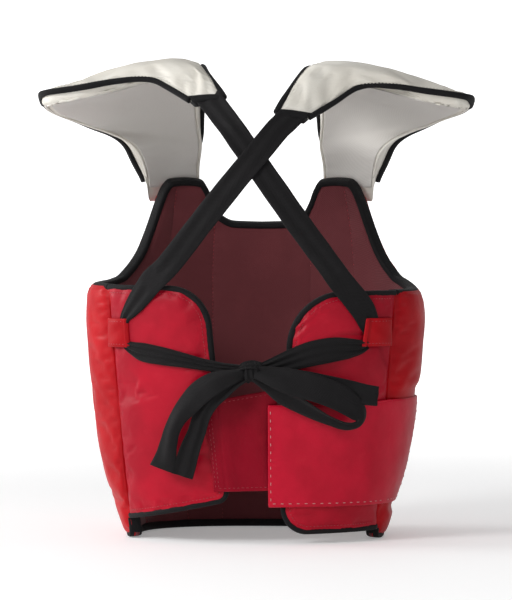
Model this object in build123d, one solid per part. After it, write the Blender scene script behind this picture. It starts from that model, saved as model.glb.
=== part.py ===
from build123d import *
import math
import os

# Padded martial-arts chest protector, in its worn shape, laced and closed at the back.
# Frame: +Z up, front of the protector faces -Y, wearer's left is +X.
# Origin: on the floor plane under the middle of the protector, hem resting on Z = 0.
#
# The torso is a stack of superellipse sections. A place on it is (angle, z): the angle is the
# section's parameter in radians, 0 at +X, pi/2 at the middle of the back. A bearing is the
# angle in degrees from the middle of the front. Depth is measured inward from the outer surface.

os.makedirs("parts", exist_ok=True)

# ---------------- driving dimensions (mm) ----------------
COVER_T = 1.2            # outer vinyl
LINING_T = 1.0           # inner lining
GAP = 0.5                # free space between layers
FRONT_FOAM_T = 12.0      # front and side foam
WING_FOAM_T = 7.0        # back wing foam
FOAM_DEPTH = COVER_T + GAP
TRUNK_D = FOAM_DEPTH + FRONT_FOAM_T + GAP + LINING_T
WING_D = FOAM_DEPTH + WING_FOAM_T + GAP + LINING_T

RIM_W = 5.0              # visible width of the edge binding
RIM_GAP = 0.8            # between a panel's edge and its binding
RIM_PROUD = 0.8          # binding stands this far off both faces of a panel
PANEL_INSET = RIM_W + 0.4    # panel edge from the outer edge of the binding
SEAM_CLEAR = 0.4         # panels and bindings from the side seam
FOAM_SEAM_CLEAR = 1.2

WEB_W = 25.0             # strap webbing width
WEB_T = 1.6              # strap webbing thickness
ORIGIN_SHIFT = (0.22, 3.14, 0)   # centres the origin under the whole protector

SECTION_N = 2.4          # superellipse exponent of the torso section
# Torso section tables: (height, half width or half depth)
HALF_W = [
    (-20, 122), (0, 124), (18, 126.5), (36, 131), (56, 138), (86, 145), (120, 150), (150, 153),
    (180, 155.5), (210, 157.5), (244, 158), (280, 154), (310, 148), (345, 139), (380, 128),
    (420, 112),
]
BACK_DEPTH = [
    (-20, 96), (0, 97), (60, 100), (120, 106), (180, 111), (240, 114), (300, 114), (340, 110),
    (380, 99), (420, 78),
]
FRONT_DEPTH = [
    (-20, 113), (0, 114), (60, 117), (120, 123), (180, 130), (240, 134), (280, 132), (310, 126),
    (340, 115), (370, 98), (420, 70),
]

# Side seams, where each back wing joins the trunk: (x, z) of their ends
SEAM_TOP = (139.0, 243.0)
SEAM_BOT = (121.0, 26.0)
SIDES = ((1, "left"), (-1, "right"))


def put(name, shape):
    export_step(Pos(*ORIGIN_SHIFT) * shape, f"parts/{name}.step")


# ---------------- interpolation ----------------
def lin(start, end, count):
    return [start + (end - start) * k / (count - 1) for k in range(count)]


def hermite(start, end, rate0, rate1, t):
    """Cubic between two numbers or Vectors, with the given rates of change at its ends."""
    return (start * ((1 + 2 * t) * (1 - t) ** 2) + rate0 * (t * (1 - t) ** 2)
            + end * (t * t * (3 - 2 * t)) + rate1 * (t * t * (t - 1)))


def table(rows, z):
    """Smooth monotone interpolation of a table, held constant beyond its ends."""
    if z <= rows[0][0]:
        return rows[0][1]
    if z >= rows[-1][0]:
        return rows[-1][1]
    last = len(rows) - 1
    steps = [rows[k + 1][0] - rows[k][0] for k in range(last)]
    rises = [(rows[k + 1][1] - rows[k][1]) / steps[k] for k in range(last)]

    def slope(k):
        if k == 0:
            return rises[0]
        if k == last:
            return rises[-1]
        if rises[k - 1] * rises[k] <= 0:
            return 0.0
        weight0 = 2 * steps[k] + steps[k - 1]
        weight1 = steps[k] + 2 * steps[k - 1]
        return (weight0 + weight1) / (weight0 / rises[k - 1] + weight1 / rises[k])

    i = max(k for k in range(last) if rows[k][0] <= z)
    return hermite(rows[i][1], rows[i + 1][1], slope(i) * steps[i], slope(i + 1) * steps[i],
                   (z - rows[i][0]) / steps[i])


def smooth_path(keys, count):
    """Evenly stepped Catmull-Rom curve through key points."""
    keys = [Vector(*key) for key in keys]
    last = len(keys) - 1
    points = []
    for k in range(count):
        place = k / (count - 1) * last
        i = min(int(place), last - 1)
        rate0 = (keys[i + 1] - keys[max(i - 1, 0)]) * 0.5
        rate1 = (keys[min(i + 2, last)] - keys[i]) * 0.5
        points.append(hermite(keys[i], keys[i + 1], rate0, rate1, place - i))
    return points


def smoothstep(t):
    t = min(1.0, max(0.0, t))
    return t * t * (3 - 2 * t)


# ---------------- torso surface ----------------
def signed_power(value, power):
    return math.copysign(abs(value) ** power, value)


def section_point(angle, z, offset=0.0):
    """Point of the torso section at an angle, its half axes enlarged by the offset."""
    half_w = table(HALF_W, z) + offset
    half_d = table(BACK_DEPTH if math.sin(angle) >= 0 else FRONT_DEPTH, z) + offset
    return Vector(half_w * signed_power(math.cos(angle), 2 / SECTION_N),
                  half_d * signed_power(math.sin(angle), 2 / SECTION_N), z)


def back_angle(x, z):
    """Angle of the place on the back at x."""
    share = max(-1.0, min(1.0, x / table(HALF_W, z)))
    return math.acos(signed_power(share, SECTION_N / 2))


def back_point(x, z, offset):
    return section_point(back_angle(x, z), z, offset)


def front_point(x, z, offset):
    return section_point(-back_angle(x, z), z, offset)


def outward(angle, z):
    """Unit normal of the torso surface, pointing away from the body."""
    around = section_point(angle + 0.01, z) - section_point(angle - 0.01, z)
    up = section_point(angle, z + 1) - section_point(angle, z - 1)
    normal = around.cross(up).normalized()
    point = section_point(angle, z)
    if normal.X * point.X + normal.Y * point.Y < 0:
        normal = normal * -1
    return normal


def back_out(point):
    """Outward direction of the back surface near a point."""
    return outward(back_angle(point.X, point.Z), point.Z)


def arc_shift(angle, z, distance):
    """Angle moved along the section by a distance, in the sense of growing angle."""
    step = 0.01
    length = (section_point(angle + step, z) - section_point(angle, z)).length
    return angle + distance * step / length


def seam_x(z):
    share = (z - SEAM_BOT[1]) / (SEAM_TOP[1] - SEAM_BOT[1])
    return SEAM_BOT[0] + (SEAM_TOP[0] - SEAM_BOT[0]) * share


def seam_angle(z, distance):
    """Angle of the left side seam, moved towards the middle of the back by a distance."""
    return arc_shift(back_angle(seam_x(z), z), z, distance)


def seam_bearing(z, clear):
    """Bearing of the side seam, kept clear of it on the front side by a distance."""
    return 90 + math.degrees(seam_angle(z, -clear))


def bearing_angle(bearing):
    return math.radians(-90 + bearing)


# ---------------- solids ----------------
def ring_solid(rings):
    """Closed solid through rings, each a pair of point rows, one on each face of the layer."""
    faces = []
    tops = [Edge.make_spline(top) for top, _ in rings]
    bottoms = [Edge.make_spline(bottom) for _, bottom in rings]
    for k in range(len(rings) - 1):
        top0, bottom0 = rings[k]
        top1, bottom1 = rings[k + 1]
        faces.append(Face.make_surface_from_curves(tops[k], tops[k + 1]))
        faces.append(Face.make_surface_from_curves(bottoms[k], bottoms[k + 1]))
        for i in (0, -1):
            faces.append(Face.make_surface_from_curves(
                Edge.make_line(top0[i], top1[i]), Edge.make_line(bottom0[i], bottom1[i])))
    faces.append(Face.make_surface_from_curves(tops[0], bottoms[0]))
    faces.append(Face.make_surface_from_curves(tops[-1], bottoms[-1]))
    solid = Solid(Shell(faces))
    if solid.volume < 0:
        solid = Solid(Shell([-face for face in faces]))
    return solid


def shell_loft(columns, depth0, depth1):
    """Layer between two depths (numbers, or one per column) through columns of (angle, z)."""
    rings = []
    for k, column in enumerate(columns):
        near = depth0[k] if isinstance(depth0, list) else depth0
        far = depth1[k] if isinstance(depth1, list) else depth1
        rings.append(([section_point(angle, z, -near) for angle, z in column],
                      [section_point(angle, z, -far) for angle, z in column]))
    return ring_solid(rings)


def edge_tape(path, depth):
    """Binding along a path of (angle, z): stands outside the panel's edge, across its depth."""
    wires = []
    for i, (angle, z) in enumerate(path):
        before = path[max(i - 1, 0)]
        after = path[min(i + 1, len(path) - 1)]
        along = (section_point(*after) - section_point(*before)).normalized()
        away = outward(angle, z).cross(along).normalized()
        outer = section_point(angle, z, RIM_PROUD)
        inner = section_point(angle, z, -depth - RIM_PROUD)
        near, far = away * RIM_GAP, away * (RIM_GAP + RIM_W)
        wires.append(Wire.make_polygon([inner + near, inner + far, outer + far, outer + near]))
    return Solid.make_loft(wires, ruled=True)


def ribbon(stations):
    """Ruled strip through (centre of inner face, width dir, thickness dir, width, thickness)."""
    wires = []
    for centre, width_dir, thick_dir, width, thick in stations:
        side = width_dir.normalized() * (width / 2)
        rise = thick_dir.normalized() * thick
        wires.append(Wire.make_polygon([centre - side, centre + side,
                                        centre + side + rise, centre - side + rise]))
    return Solid.make_loft(wires, ruled=True)


def path_ribbon(keys, widths, thick, facing):
    """Ribbon along key points, one station per width; facing(point) is its outward direction."""
    points = smooth_path(keys, len(widths))
    stations = []
    for i, point in enumerate(points):
        along = (points[min(i + 1, len(points) - 1)] - points[max(i - 1, 0)]).normalized()
        width_dir = facing(point).normalized().cross(along).normalized()
        stations.append((point, width_dir, along.cross(width_dir), widths[i], thick))
    return ribbon(stations)


# ---------------- trunk ----------------
# (bearing, height of the top edge without its binding)
TRUNK_TOP = [
    (0, 293), (8, 294), (13, 300), (17, 314), (20, 328), (22.5, 334.5), (30, 336), (37, 335),
    (40, 329), (42, 316), (45, 290), (49, 267), (55, 251), (63, 241), (74, 238.6), (130, 238.6),
]
TRUNK_END = 119          # bearing whose top height is used at the side seam
TRUNK_SPLIT = 60         # bearing where the columns start to lean towards the seam
GROOVES = (15.5, 35.0, 72.0)     # bearings of the grooves between the padded ribs
HALF_GROOVE = 0.7        # degrees
FOAM_INSET = 1.0         # foam below the top edge and above the hem edge of the cover


def trunk_top(bearing):
    return table(TRUNK_TOP, abs(bearing))


def trunk_columns(side, start, end, count, seam_clear=None, inset=0.0, drop=0.0):
    """Columns between two bearings; with seam_clear the last one follows the side seam."""
    columns = []
    for k in range(count):
        share = k / (count - 1)
        bearing = start + (end - start) * share
        column = []
        for z in lin(PANEL_INSET + inset, trunk_top(bearing) - drop, 13):
            if seam_clear is None:
                leaning = bearing
            else:
                leaning = start + (seam_bearing(z, seam_clear) - start) * share
            column.append((bearing_angle(side * leaning), z))
        columns.append(column)
    return columns


def both_sides(columns):
    """Columns of the left half, middle first, joined to their mirror images."""
    mirrored = [[(-math.pi - angle, z) for angle, z in column] for column in columns[1:]]
    return columns[::-1] + mirrored


def trunk_shell(depth0, depth1, drop=0.0):
    middle = trunk_columns(1, 0, TRUNK_SPLIT, 33, drop=drop)[:-1]
    flank = trunk_columns(1, TRUNK_SPLIT, TRUNK_END, 15, SEAM_CLEAR, drop=drop)
    return shell_loft(both_sides(middle + flank), depth0, depth1)


def foam_columns(side, start, end, count, seam_clear=None):
    return trunk_columns(side, start, end, count, seam_clear, FOAM_INSET, FOAM_INSET)


def trunk_foam(columns):
    return shell_loft(columns, FOAM_DEPTH, FOAM_DEPTH + FRONT_FOAM_T)


def top_binding():
    bearings = (lin(-118.5, -64, 16) + lin(-62, -36, 20) + lin(-34.5, -24, 5)
                + lin(-22.5, -7, 13) + lin(-4, 0, 2))
    bearings += [-bearing for bearing in reversed(bearings[:-1])]
    path = []
    for bearing in bearings:
        z = trunk_top(bearing)
        limit = seam_bearing(z, SEAM_CLEAR)
        path.append((bearing_angle(max(-limit, min(limit, bearing))), z))
    return edge_tape(path, TRUNK_D)


def hem_binding():
    mid_z = RIM_W / 2
    limit = seam_bearing(mid_z, SEAM_CLEAR)
    outer, inner = [], []
    for bearing in lin(-limit, limit, 61):
        angle = bearing_angle(bearing)
        normal = outward(angle, mid_z)
        normal = Vector(normal.X, normal.Y, 0).normalized()
        point = section_point(angle, mid_z)
        point = Vector(point.X, point.Y, 0)
        outer.append(point + normal * RIM_PROUD)
        inner.append(point - normal * (TRUNK_D + RIM_PROUD))
    edges = [Edge.make_spline(outer), Edge.make_line(outer[-1], inner[-1]),
             Edge.make_spline(inner[::-1]), Edge.make_line(inner[0], outer[0])]
    return Solid.extrude(Face(Wire(edges)), Vector(0, 0, RIM_W))


put("front_cover", trunk_shell(0, COVER_T))
put("front_lining", trunk_shell(TRUNK_D - LINING_T, TRUNK_D, 0.3))
put("foam_centre", trunk_foam(both_sides(foam_columns(1, 0, GROOVES[0] - HALF_GROOVE, 9))))
for side, side_name in SIDES:
    put(f"foam_inner_{side_name}", trunk_foam(
        foam_columns(side, GROOVES[0] + HALF_GROOVE, GROOVES[1] - HALF_GROOVE, 15)))
    put(f"foam_outer_{side_name}", trunk_foam(
        foam_columns(side, GROOVES[1] + HALF_GROOVE, GROOVES[2] - HALF_GROOVE, 21)))
    put(f"foam_side_{side_name}", trunk_foam(
        foam_columns(side, GROOVES[2] + HALF_GROOVE, TRUNK_END, 11, FOAM_SEAM_CLEAR)))
put("front_top_binding", top_binding())
put("front_hem_binding", hem_binding())

# ---------------- back wings ----------------
# Outer outline of each wing, from its seam along the top, down the inner edge and back:
# (distance from the middle, z, corner radius)
WING_OUTLINE = {
    1: [(139.0, 243, 0), (41, 243, 42), (20, 39.5, 12), (120.2, 20, 0)],
    -1: [(138.8, 238, 0), (38, 238, 55), (28.5, 8.5, 25), (119.6, 10, 0)],
}
WING_START_X = 128       # outermost plain column, next to the one along the seam
# Columns across a wing, closer together where its corners turn
WING_XS = [
    WING_START_X, 120, 110, 100, 90, 80, 72, 66, 61, 57, 53, 49.5, 46.5, 44, 42, 40, 38.5, 37,
    35.5, 34, 32, 30, 28.5, 27.5, 26.8, 26.2,
]


def rounded(corners, arc_step=3.0, line_step=9.0):
    """Dense (x, z) polyline through (x, z, radius) corners, corners rounded."""
    outline = [corners[0][:2]]
    for before, (x, z, radius), after in zip(corners, corners[1:], corners[2:]):
        corner = Vector(x, z, 0)
        back = Vector(before[0] - x, before[1] - z, 0).normalized()
        ahead = Vector(after[0] - x, after[1] - z, 0).normalized()
        half = math.acos(max(-1, min(1, back.dot(ahead)))) / 2
        cut = radius / math.tan(half)
        centre = corner + (back + ahead).normalized() * (radius / math.sin(half))
        start, end = corner + back * cut, corner + ahead * cut
        turn0 = math.atan2(start.Y - centre.Y, start.X - centre.X)
        turn1 = math.atan2(end.Y - centre.Y, end.X - centre.X)
        while turn1 - turn0 > math.pi:
            turn1 -= 2 * math.pi
        while turn1 - turn0 < -math.pi:
            turn1 += 2 * math.pi
        count = max(5, int(abs(turn1 - turn0) * radius / arc_step))
        for k in range(count + 1):
            turn = turn0 + (turn1 - turn0) * k / count
            outline.append((centre.X + radius * math.cos(turn),
                            centre.Y + radius * math.sin(turn)))
    outline.append(corners[-1][:2])
    dense = [outline[0]]
    for (x0, z0), (x1, z1) in zip(outline, outline[1:]):
        count = max(1, int(math.dist((x0, z0), (x1, z1)) / line_step))
        dense += [(x0 + (x1 - x0) * k / count, z0 + (z1 - z0) * k / count)
                  for k in range(1, count + 1)]
    return dense


def wing_outline(side, inset):
    """Rounded outline of a wing, moved inward."""
    points = rounded(WING_OUTLINE[side])
    moved = []
    for i, (x, z) in enumerate(points):
        before = points[max(i - 1, 0)]
        after = points[min(i + 1, len(points) - 1)]
        run_x, run_z = after[0] - before[0], after[1] - before[1]
        length = math.hypot(run_x, run_z)
        moved.append((x - run_z / length * inset, z + run_x / length * inset))
    return moved


def crossing(points, x):
    """Lowest and highest z where an outline crosses x."""
    heights = []
    for (x0, z0), (x1, z1) in zip(points, points[1:]):
        if (x0 - x) * (x1 - x) <= 0 and x0 != x1:
            heights.append(z0 + (z1 - z0) * (x - x0) / (x1 - x0))
    return min(heights), max(heights)


def wing_layer(side, inset, seam_clear, depth0, depth1):
    points = wing_outline(side, inset)
    (x0, z0), (x1, z1) = points[0], points[-1]
    points = [(x0 + 15, z0)] + points + [(x1 + 15, z1)]
    inner_x = min(x for x, _ in points) + 1.2
    columns = [[(seam_angle(z, seam_clear), z) for z in lin(*crossing(points, WING_START_X), 13)]]
    for x in [x for x in WING_XS if x > inner_x + 0.4] + [inner_x]:
        column = []
        for z in lin(*crossing(points, x), 13):
            # Keep the columns in order where the seam slants inward
            limit = seam_x(z) - 2.0 - (WING_START_X - x) * 0.1
            column.append((back_angle(min(x, limit), z), z))
        columns.append(column)
    if side < 0:
        columns = [[(math.pi - angle, z) for angle, z in column] for column in columns]
    return shell_loft(columns, depth0, depth1)


def wing_binding(side):
    path = []
    for x, z in wing_outline(side, RIM_W):
        angle = max(back_angle(min(x, seam_x(z)), z), seam_angle(z, 0.5))
        path.append((angle if side > 0 else math.pi - angle, z))
    if side < 0:
        path.reverse()
    return edge_tape(path, WING_D)


for side, side_name in SIDES:
    put(f"{side_name}_wing_cover", wing_layer(side, PANEL_INSET, SEAM_CLEAR, 0, COVER_T))
    put(f"{side_name}_wing_foam", wing_layer(side, RIM_W + 2.6, FOAM_SEAM_CLEAR,
                                             FOAM_DEPTH, FOAM_DEPTH + WING_FOAM_T))
    put(f"{side_name}_wing_lining", wing_layer(side, RIM_W + 3.2, 0.8,
                                               WING_D - LINING_T, WING_D))
    put(f"{side_name}_wing_binding", wing_binding(side))

# ---------------- cross straps and waist ties ----------------
# Upper straps, from each shoulder pad's rear hem over the back to the opposite wing:
# (x, y, z) of the inner face
UPPER_STRAPS = {
    "left_strap_upper": [
        (38.5, 76.0, 410.0), (31.0, 87.0, 400.0), (20.0, 97.5, 386.0), (-1.3, 106.0, 361.0),
        (-22.0, 110.5, 331.0), (-46.0, 111.3, 298.0), (-72.5, 108.5, 262.5)],
    "right_strap_upper": [
        (-37.0, 84.5, 393.0), (-30.5, 93.5, 385.0), (-20.0, 102.8, 374.0), (-1.3, 110.4, 360.0),
        (22.0, 114.4, 330.0), (48.0, 113.6, 298.0), (78.0, 108.3, 262.5)],
}
# Width at each station, as the webbing gathers into the keeper
LOWER_WIDTHS = [WEB_W] * 4 + [24, 22, 18, 12, 9] + [8.5] * 6
# Ribbons on the wings: lower straps into the keepers, then waist ties to the knot.
# name, widths along it, key points (x, z, offset from the surface)
WING_RIBBONS = [
    ("right_strap_lower", LOWER_WIDTHS, [
        (80.0, 259.0, 1.7), (91.0, 246.0, 1.5), (103.0, 232.0, 1.4), (114.0, 221.5, 1.2),
        (121.5, 214.0, 0.8), (123.5, 205.0, 0.8), (123.5, 196.0, 0.8), (123.5, 187.0, 0.8)]),
    ("left_strap_lower", LOWER_WIDTHS, [
        (-75.0, 259.0, 2.2), (-85.0, 246.0, 1.8), (-96.0, 232.0, 1.4), (-104.5, 220.5, 1.2),
        (-110.5, 212.0, 0.8), (-113.5, 204.0, 0.8), (-114.0, 195.0, 0.8), (-114.0, 186.5, 0.8)]),
    ("right_tie", [6, 9, 13, 16, 17, 17, 15, 13, 12, 11, 10, 9, 8], [
        (116.0, 180.2, 1.5), (104.0, 180.5, 3.2), (82.0, 177.5, 3.6), (60.0, 173.0, 3.2),
        (40.0, 169.0, 3.0), (24.0, 166.0, 3.4), (13.0, 164.6, 4.0)]),
    ("left_tie", [6, 8, 11, 18, 22, 23, 22, 20, 17, 14, 12, 10, 8], [
        (-107.5, 177.8, 2.0), (-98.0, 180.6, 3.2), (-80.0, 183.5, 3.6), (-60.0, 180.0, 3.2),
        (-42.0, 175.0, 3.0), (-26.0, 170.0, 3.2), (-14.5, 165.5, 4.0)]),
]
KEEPER_T = 1.3


def keeper(side, mid_x, mid_z, length, height):
    """Flat loop arched over the strap, its ends down on the wing."""
    stations = []
    for share in lin(-1, 1, 9):
        x = side * (mid_x + share * length / 2)
        lift = 0.7 + 3.3 * min(1.0, 3.2 * (1 - abs(share)) ** 0.9)
        point = back_point(x, mid_z, lift)
        stations.append((point, Vector(0, 0, 1), back_out(point), height, KEEPER_T))
    return ribbon(stations)


for name, keys in UPPER_STRAPS.items():
    put(name, path_ribbon(keys, [WEB_W] * 19, WEB_T, lambda point: Vector(0, 1, 0.35)))
for name, widths, keys in WING_RIBBONS:
    put(name, path_ribbon([back_point(*key) for key in keys], widths, WEB_T, back_out))
put("left_keeper", keeper(1, 124.7, 198.2, 20, 26.4))
put("right_keeper", keeper(-1, 116.0, 197.5, 29, 25))

# ---------------- knot and bow ----------------
KNOT_CENTRE = (-1.5, 119.5, 163.5)
KNOT_R = 8.2
KNOT_LENGTH = 21
KNOT_FILLET = 3.4
BOW_T = 2.0
# name, width at the knot, full width, key points (x, y, z)
BOW_PIECES = [
    ("bow_loop_left", 10, 22, [
        (12.5, 121.0, 160.5), (26, 119.6, 156), (44, 118.2, 147), (60, 116.5, 132),
        (71, 115.0, 112), (77.5, 113.8, 92), (80, 113.0, 76)]),
    ("bow_tail_left", 9, 21, [
        (10.5, 117.6, 154.0), (20, 116.6, 148), (30, 115.6, 132), (38, 114.4, 112),
        (46, 113.2, 92), (56, 111.6, 70), (60, 111.0, 62)]),
    ("bow_loop_right", 10, 24, [
        (-13.5, 121.8, 162.0), (-30, 123.4, 160.5), (-50, 124.5, 154), (-74, 122.3, 144),
        (-94, 117.0, 132), (-103, 113.6, 122), (-105, 111.6, 114)]),
    ("bow_tail_right", 9, 15, [
        (-12.0, 118.0, 153.5), (-28, 120.2, 146.5), (-46, 121.0, 135), (-64, 118.4, 124.5),
        (-82, 112.4, 116), (-94, 107.4, 112), (-99, 105.0, 110.5)]),
]

knot = Pos(*KNOT_CENTRE) * Cylinder(KNOT_R, KNOT_LENGTH, rotation=(0, 90, 0))
put("bow_knot", fillet(knot.edges(), KNOT_FILLET).solids()[0])
for name, knot_w, full_w, keys in BOW_PIECES:
    # Full width is reached a third of the way along
    widths = [knot_w + (full_w - knot_w) * min(1, 3.0 * share) for share in lin(0, 1, 15)]
    put(name, path_ribbon(keys, widths, BOW_T, lambda point: Vector(0, 1, 0)))

# ---------------- waist closure ----------------
# Loop-side band, from under the left wing's inner edge across the gap:
# (distance from the wing's edge, share of the way to the band's end, depth of the outer face)
BAND_ROWS = [
    (12, 0.0, -2.9), (8, 0.0, -2.9), (4, 0.0, -2.9), (0, 0.0, -2.9), (-3, 0.02, -2.6),
    (-3, 0.14, -1.2), (-3, 0.30, 0.6), (-3, 0.46, 1.7), (-3, 0.64, 2.3), (-2, 0.82, 2.4),
    (0, 1.0, 2.4),
]
BAND_T = 1.6
BAND_END_X = -25.0
BAND_Z0, BAND_Z1 = 49.5, 133.0       # lower and upper edge at BAND_REF_X
BAND_REF_X = 46
BAND_SLOPE0, BAND_SLOPE1 = 0.018, 0.183  # rise of the edges towards -X

BELT_Z0, BELT_Z1 = 35.5, 131.0       # hook-side belt, lower and upper edge
BELT_T = 2.4
BELT_LIFT = 1.4          # inner face above the outer surface
BELT_SEAM_CLEAR = 5.0
BELT_XS = [118, 112, 106, 98, 90, 82, 74, 66, 58, 50, 42, 34, 26, 17.3]
ANCHOR_BEARING = 84.0    # front end of the belt anchor


def wing_edge_x(z):
    """Straight inner edge of the left wing."""
    (top_x, top_z, _), (bottom_x, bottom_z, _) = WING_OUTLINE[1][1:3]
    return bottom_x + (top_x - bottom_x) * (z - bottom_z) / (top_z - bottom_z)


def waist_band():
    columns = []
    for from_edge, share, _ in BAND_ROWS:
        column = []
        for height in lin(0, 1, 9):
            edge_x = wing_edge_x(BAND_Z0 + (BAND_Z1 - BAND_Z0) * height)
            x = (edge_x + from_edge) * (1 - share) + BAND_END_X * share
            low = BAND_Z0 + (BAND_REF_X - x) * BAND_SLOPE0
            high = BAND_Z1 + (BAND_REF_X - x) * BAND_SLOPE1
            z = low * (1 - height) + high * height
            column.append((back_angle(x, z), z))
        columns.append(column)
    depths = [depth for _, _, depth in BAND_ROWS]
    return shell_loft(columns, depths, [depth + BAND_T for depth in depths])


def patch(xs, z0, z1, depth0, depth1):
    columns = [[(back_angle(x, z), z) for z in lin(z0, z1, 9)] for x in xs]
    return shell_loft(columns, depth0, depth1)


def belt_layer(columns):
    return shell_loft(columns, -BELT_LIFT - BELT_T, -BELT_LIFT)


def waist_belt():
    """Belt over the right wing, starting beside the side seam."""
    heights = lin(BELT_Z0, BELT_Z1, 9)
    columns = [[(math.pi - seam_angle(z, BELT_SEAM_CLEAR), z) for z in heights]]
    columns += [[(math.pi - back_angle(x, z), z) for z in heights] for x in BELT_XS]
    return belt_layer(columns)


def belt_anchor():
    """Piece in line with the belt, on the trunk side of the right seam."""
    columns = []
    for share in lin(0, 1, 9):
        column = []
        for z in lin(BELT_Z0, BELT_Z1, 9):
            reach = seam_bearing(z, BELT_SEAM_CLEAR) - ANCHOR_BEARING
            column.append((bearing_angle(-(ANCHOR_BEARING + reach * share)), z))
        columns.append(column)
    return belt_layer(columns)


put("waist_band", waist_band())
put("loop_patch", patch([-18.2, -20.5, -22.5, -24.5], 55, 128, 1.1, 2.0))
put("waist_belt", waist_belt())
put("hook_patch", patch([-18.5, -21.5, -24.5, -27.5], 57, 127, -1.0, 0.7))
put("belt_anchor", belt_anchor())

# ---------------- shoulder pads ----------------
# A place on a pad is (along, across): along runs 0 to 1 from the chest end to the rear hem,
# across runs 0 to 1 from the neck-side edge to the outer edge.
PAD_T = 15.0
PAD_END_T = 3.0          # at the chest end
PAD_REAR_THINNING = 6.0
PAD_FOAM_GAP = 1.0
CHEST_CLEAR = 2.4        # free space between the chest and the front end of a pad
PAD_RIM_W = 3.6
PAD_RIM_T = 4.4
PAD_RIM_GAP = 4.0        # from the pad's edge to its binding
PAD_RIM_DROP = 4.0       # inner face of the binding under the pad's top face

# Edges front to rear: share along the pad, then (x, y, z) per side; y None: on the chest
NECK_SHARES = [0, 0.1, 0.24, 0.40, 0.55, 0.68, 0.80, 0.90, 1.0]
NECK_EDGE = {
    1: [(62, None, 322), (61, None, 346), (59.5, -104, 384), (56, -71, 424), (53.5, -28, 448),
        (50, 10, 451), (44, 36, 444), (36, 56, 433), (29.5, 70, 420.5)],
    -1: [(62, None, 322), (61, None, 346), (59.5, -104, 384), (56, -71, 424), (53.5, -28, 447),
         (50.5, 12, 449), (46, 42, 440), (39, 64, 424), (32.5, 79, 405.5)],
}
OUTER_SHARES = [0, 0.09, 0.20, 0.32, 0.43, 0.53, 0.62, 0.72, 0.82, 0.89, 0.94, 1.0]
OUTER_EDGE = {
    1: [(110, None, 322), (115, -92, 348), (137, -82, 380), (170, -65, 405), (196, -39, 418),
        (204.5, -7, 424), (199, 23, 426.5), (168, 36, 431), (128, 41, 437.5), (97, 46, 438),
        (78, 54, 430), (56.5, 67.5, 418.5)],
    -1: [(110, None, 322), (115, -92, 348), (137, -82, 380), (170, -65, 404), (196, -39, 416),
         (205, -7, 422), (199, 23, 423), (168, 36, 427.5), (128, 41, 432), (99, 47, 430),
         (78, 59, 417), (54, 76, 402.5)],
}


def pad_edge(shares, keys):
    """Rows of (share, point), with the open y values laid on the chest."""
    rows = []
    for share, (x, y, z) in zip(shares, keys):
        if y is None:
            y = front_point(x, z, CHEST_CLEAR + (PAD_END_T if share == 0 else 10.0)).Y
        rows.append((share, Vector(x, y, z)))
    return rows


PAD_EDGES = {side: (pad_edge(NECK_SHARES, NECK_EDGE[side]),
                    pad_edge(OUTER_SHARES, OUTER_EDGE[side])) for side, _ in SIDES}


def edge_point(rows, along):
    """Catmull-Rom through unevenly spaced rows."""
    last = len(rows) - 1
    i = max(k for k in range(last) if rows[k][0] <= along + 1e-12)
    (s1, p1), (s2, p2) = rows[i], rows[i + 1]
    s0, p0 = rows[i - 1] if i > 0 else (2 * s1 - s2, p1 * 2 - p2)
    s3, p3 = rows[i + 2] if i + 2 <= last else (2 * s2 - s1, p2 * 2 - p1)
    step = s2 - s1
    return hermite(p1, p2, (p2 - p0) * (step / (s2 - s0)), (p3 - p1) * (step / (s3 - s1)),
                   (along - s1) / step)


def pad_thick(along):
    return (PAD_END_T + (PAD_T - PAD_END_T) * smoothstep(along / 0.16)
            - PAD_REAR_THINNING * smoothstep((along - 0.86) / 0.14))


def pad_top(side, along, across):
    neck, outer = [edge_point(rows, along) for rows in PAD_EDGES[side]]
    point = neck * (1 - across) + outer * across
    crown = (10.5 * smoothstep((along - 0.16) / 0.3)
             * (1 - 0.55 * smoothstep((along - 0.72) / 0.28)))
    bulge = crown * math.sin(math.pi * across ** 0.75) * (1 - 0.25 * across)
    tilt = math.radians(-90 + 115 * smoothstep(along))
    return Vector(side * point.X, point.Y + bulge * math.sin(tilt),
                  point.Z + bulge * math.cos(tilt))


def pad_normal(side, along, across):
    step = 0.012
    along0, along1 = max(0, along - step), min(1, along + step)
    across0, across1 = max(0, across - step), min(1, across + step)
    rearward = pad_top(side, along1, across) - pad_top(side, along0, across)
    sideways = pad_top(side, along, across1) - pad_top(side, along, across0)
    return (sideways.cross(rearward) * side).normalized()


def pad_point(side, along, across, depth):
    """Point at a depth under the pad's top face; the front end lies flat on the chest."""
    top = pad_top(side, along, across)
    free = top - pad_normal(side, along, across) * depth
    flat = 1 - smoothstep((along - 0.11) / 0.16)
    if flat <= 0:
        return free
    chest = front_point(min(abs(top.X), 125), top.Z, CHEST_CLEAR + pad_thick(along) - depth)
    return free * (1 - flat) + Vector(side * chest.X, chest.Y, chest.Z) * flat


def pad_layer(side, alongs, acrosses, depth0, depth1):
    """Layer of the pad between two depths, each a function of the place along it."""
    return ring_solid([
        ([pad_point(side, along, across, depth0(along)) for across in acrosses],
         [pad_point(side, along, across, depth1(along)) for across in acrosses])
        for along in alongs])


def pad_binding(side, across, alongs):
    stations = []
    for along in alongs:
        edge = pad_point(side, along, across, 0)
        normal = pad_normal(side, along, across)
        away = (edge - pad_point(side, along, abs(across - 0.02), 0)).normalized()
        centre = edge + away * (PAD_RIM_W / 2 + PAD_RIM_GAP) - normal * PAD_RIM_DROP
        stations.append((centre, away, normal, PAD_RIM_W, PAD_RIM_T))
    return ribbon(stations)


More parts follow.
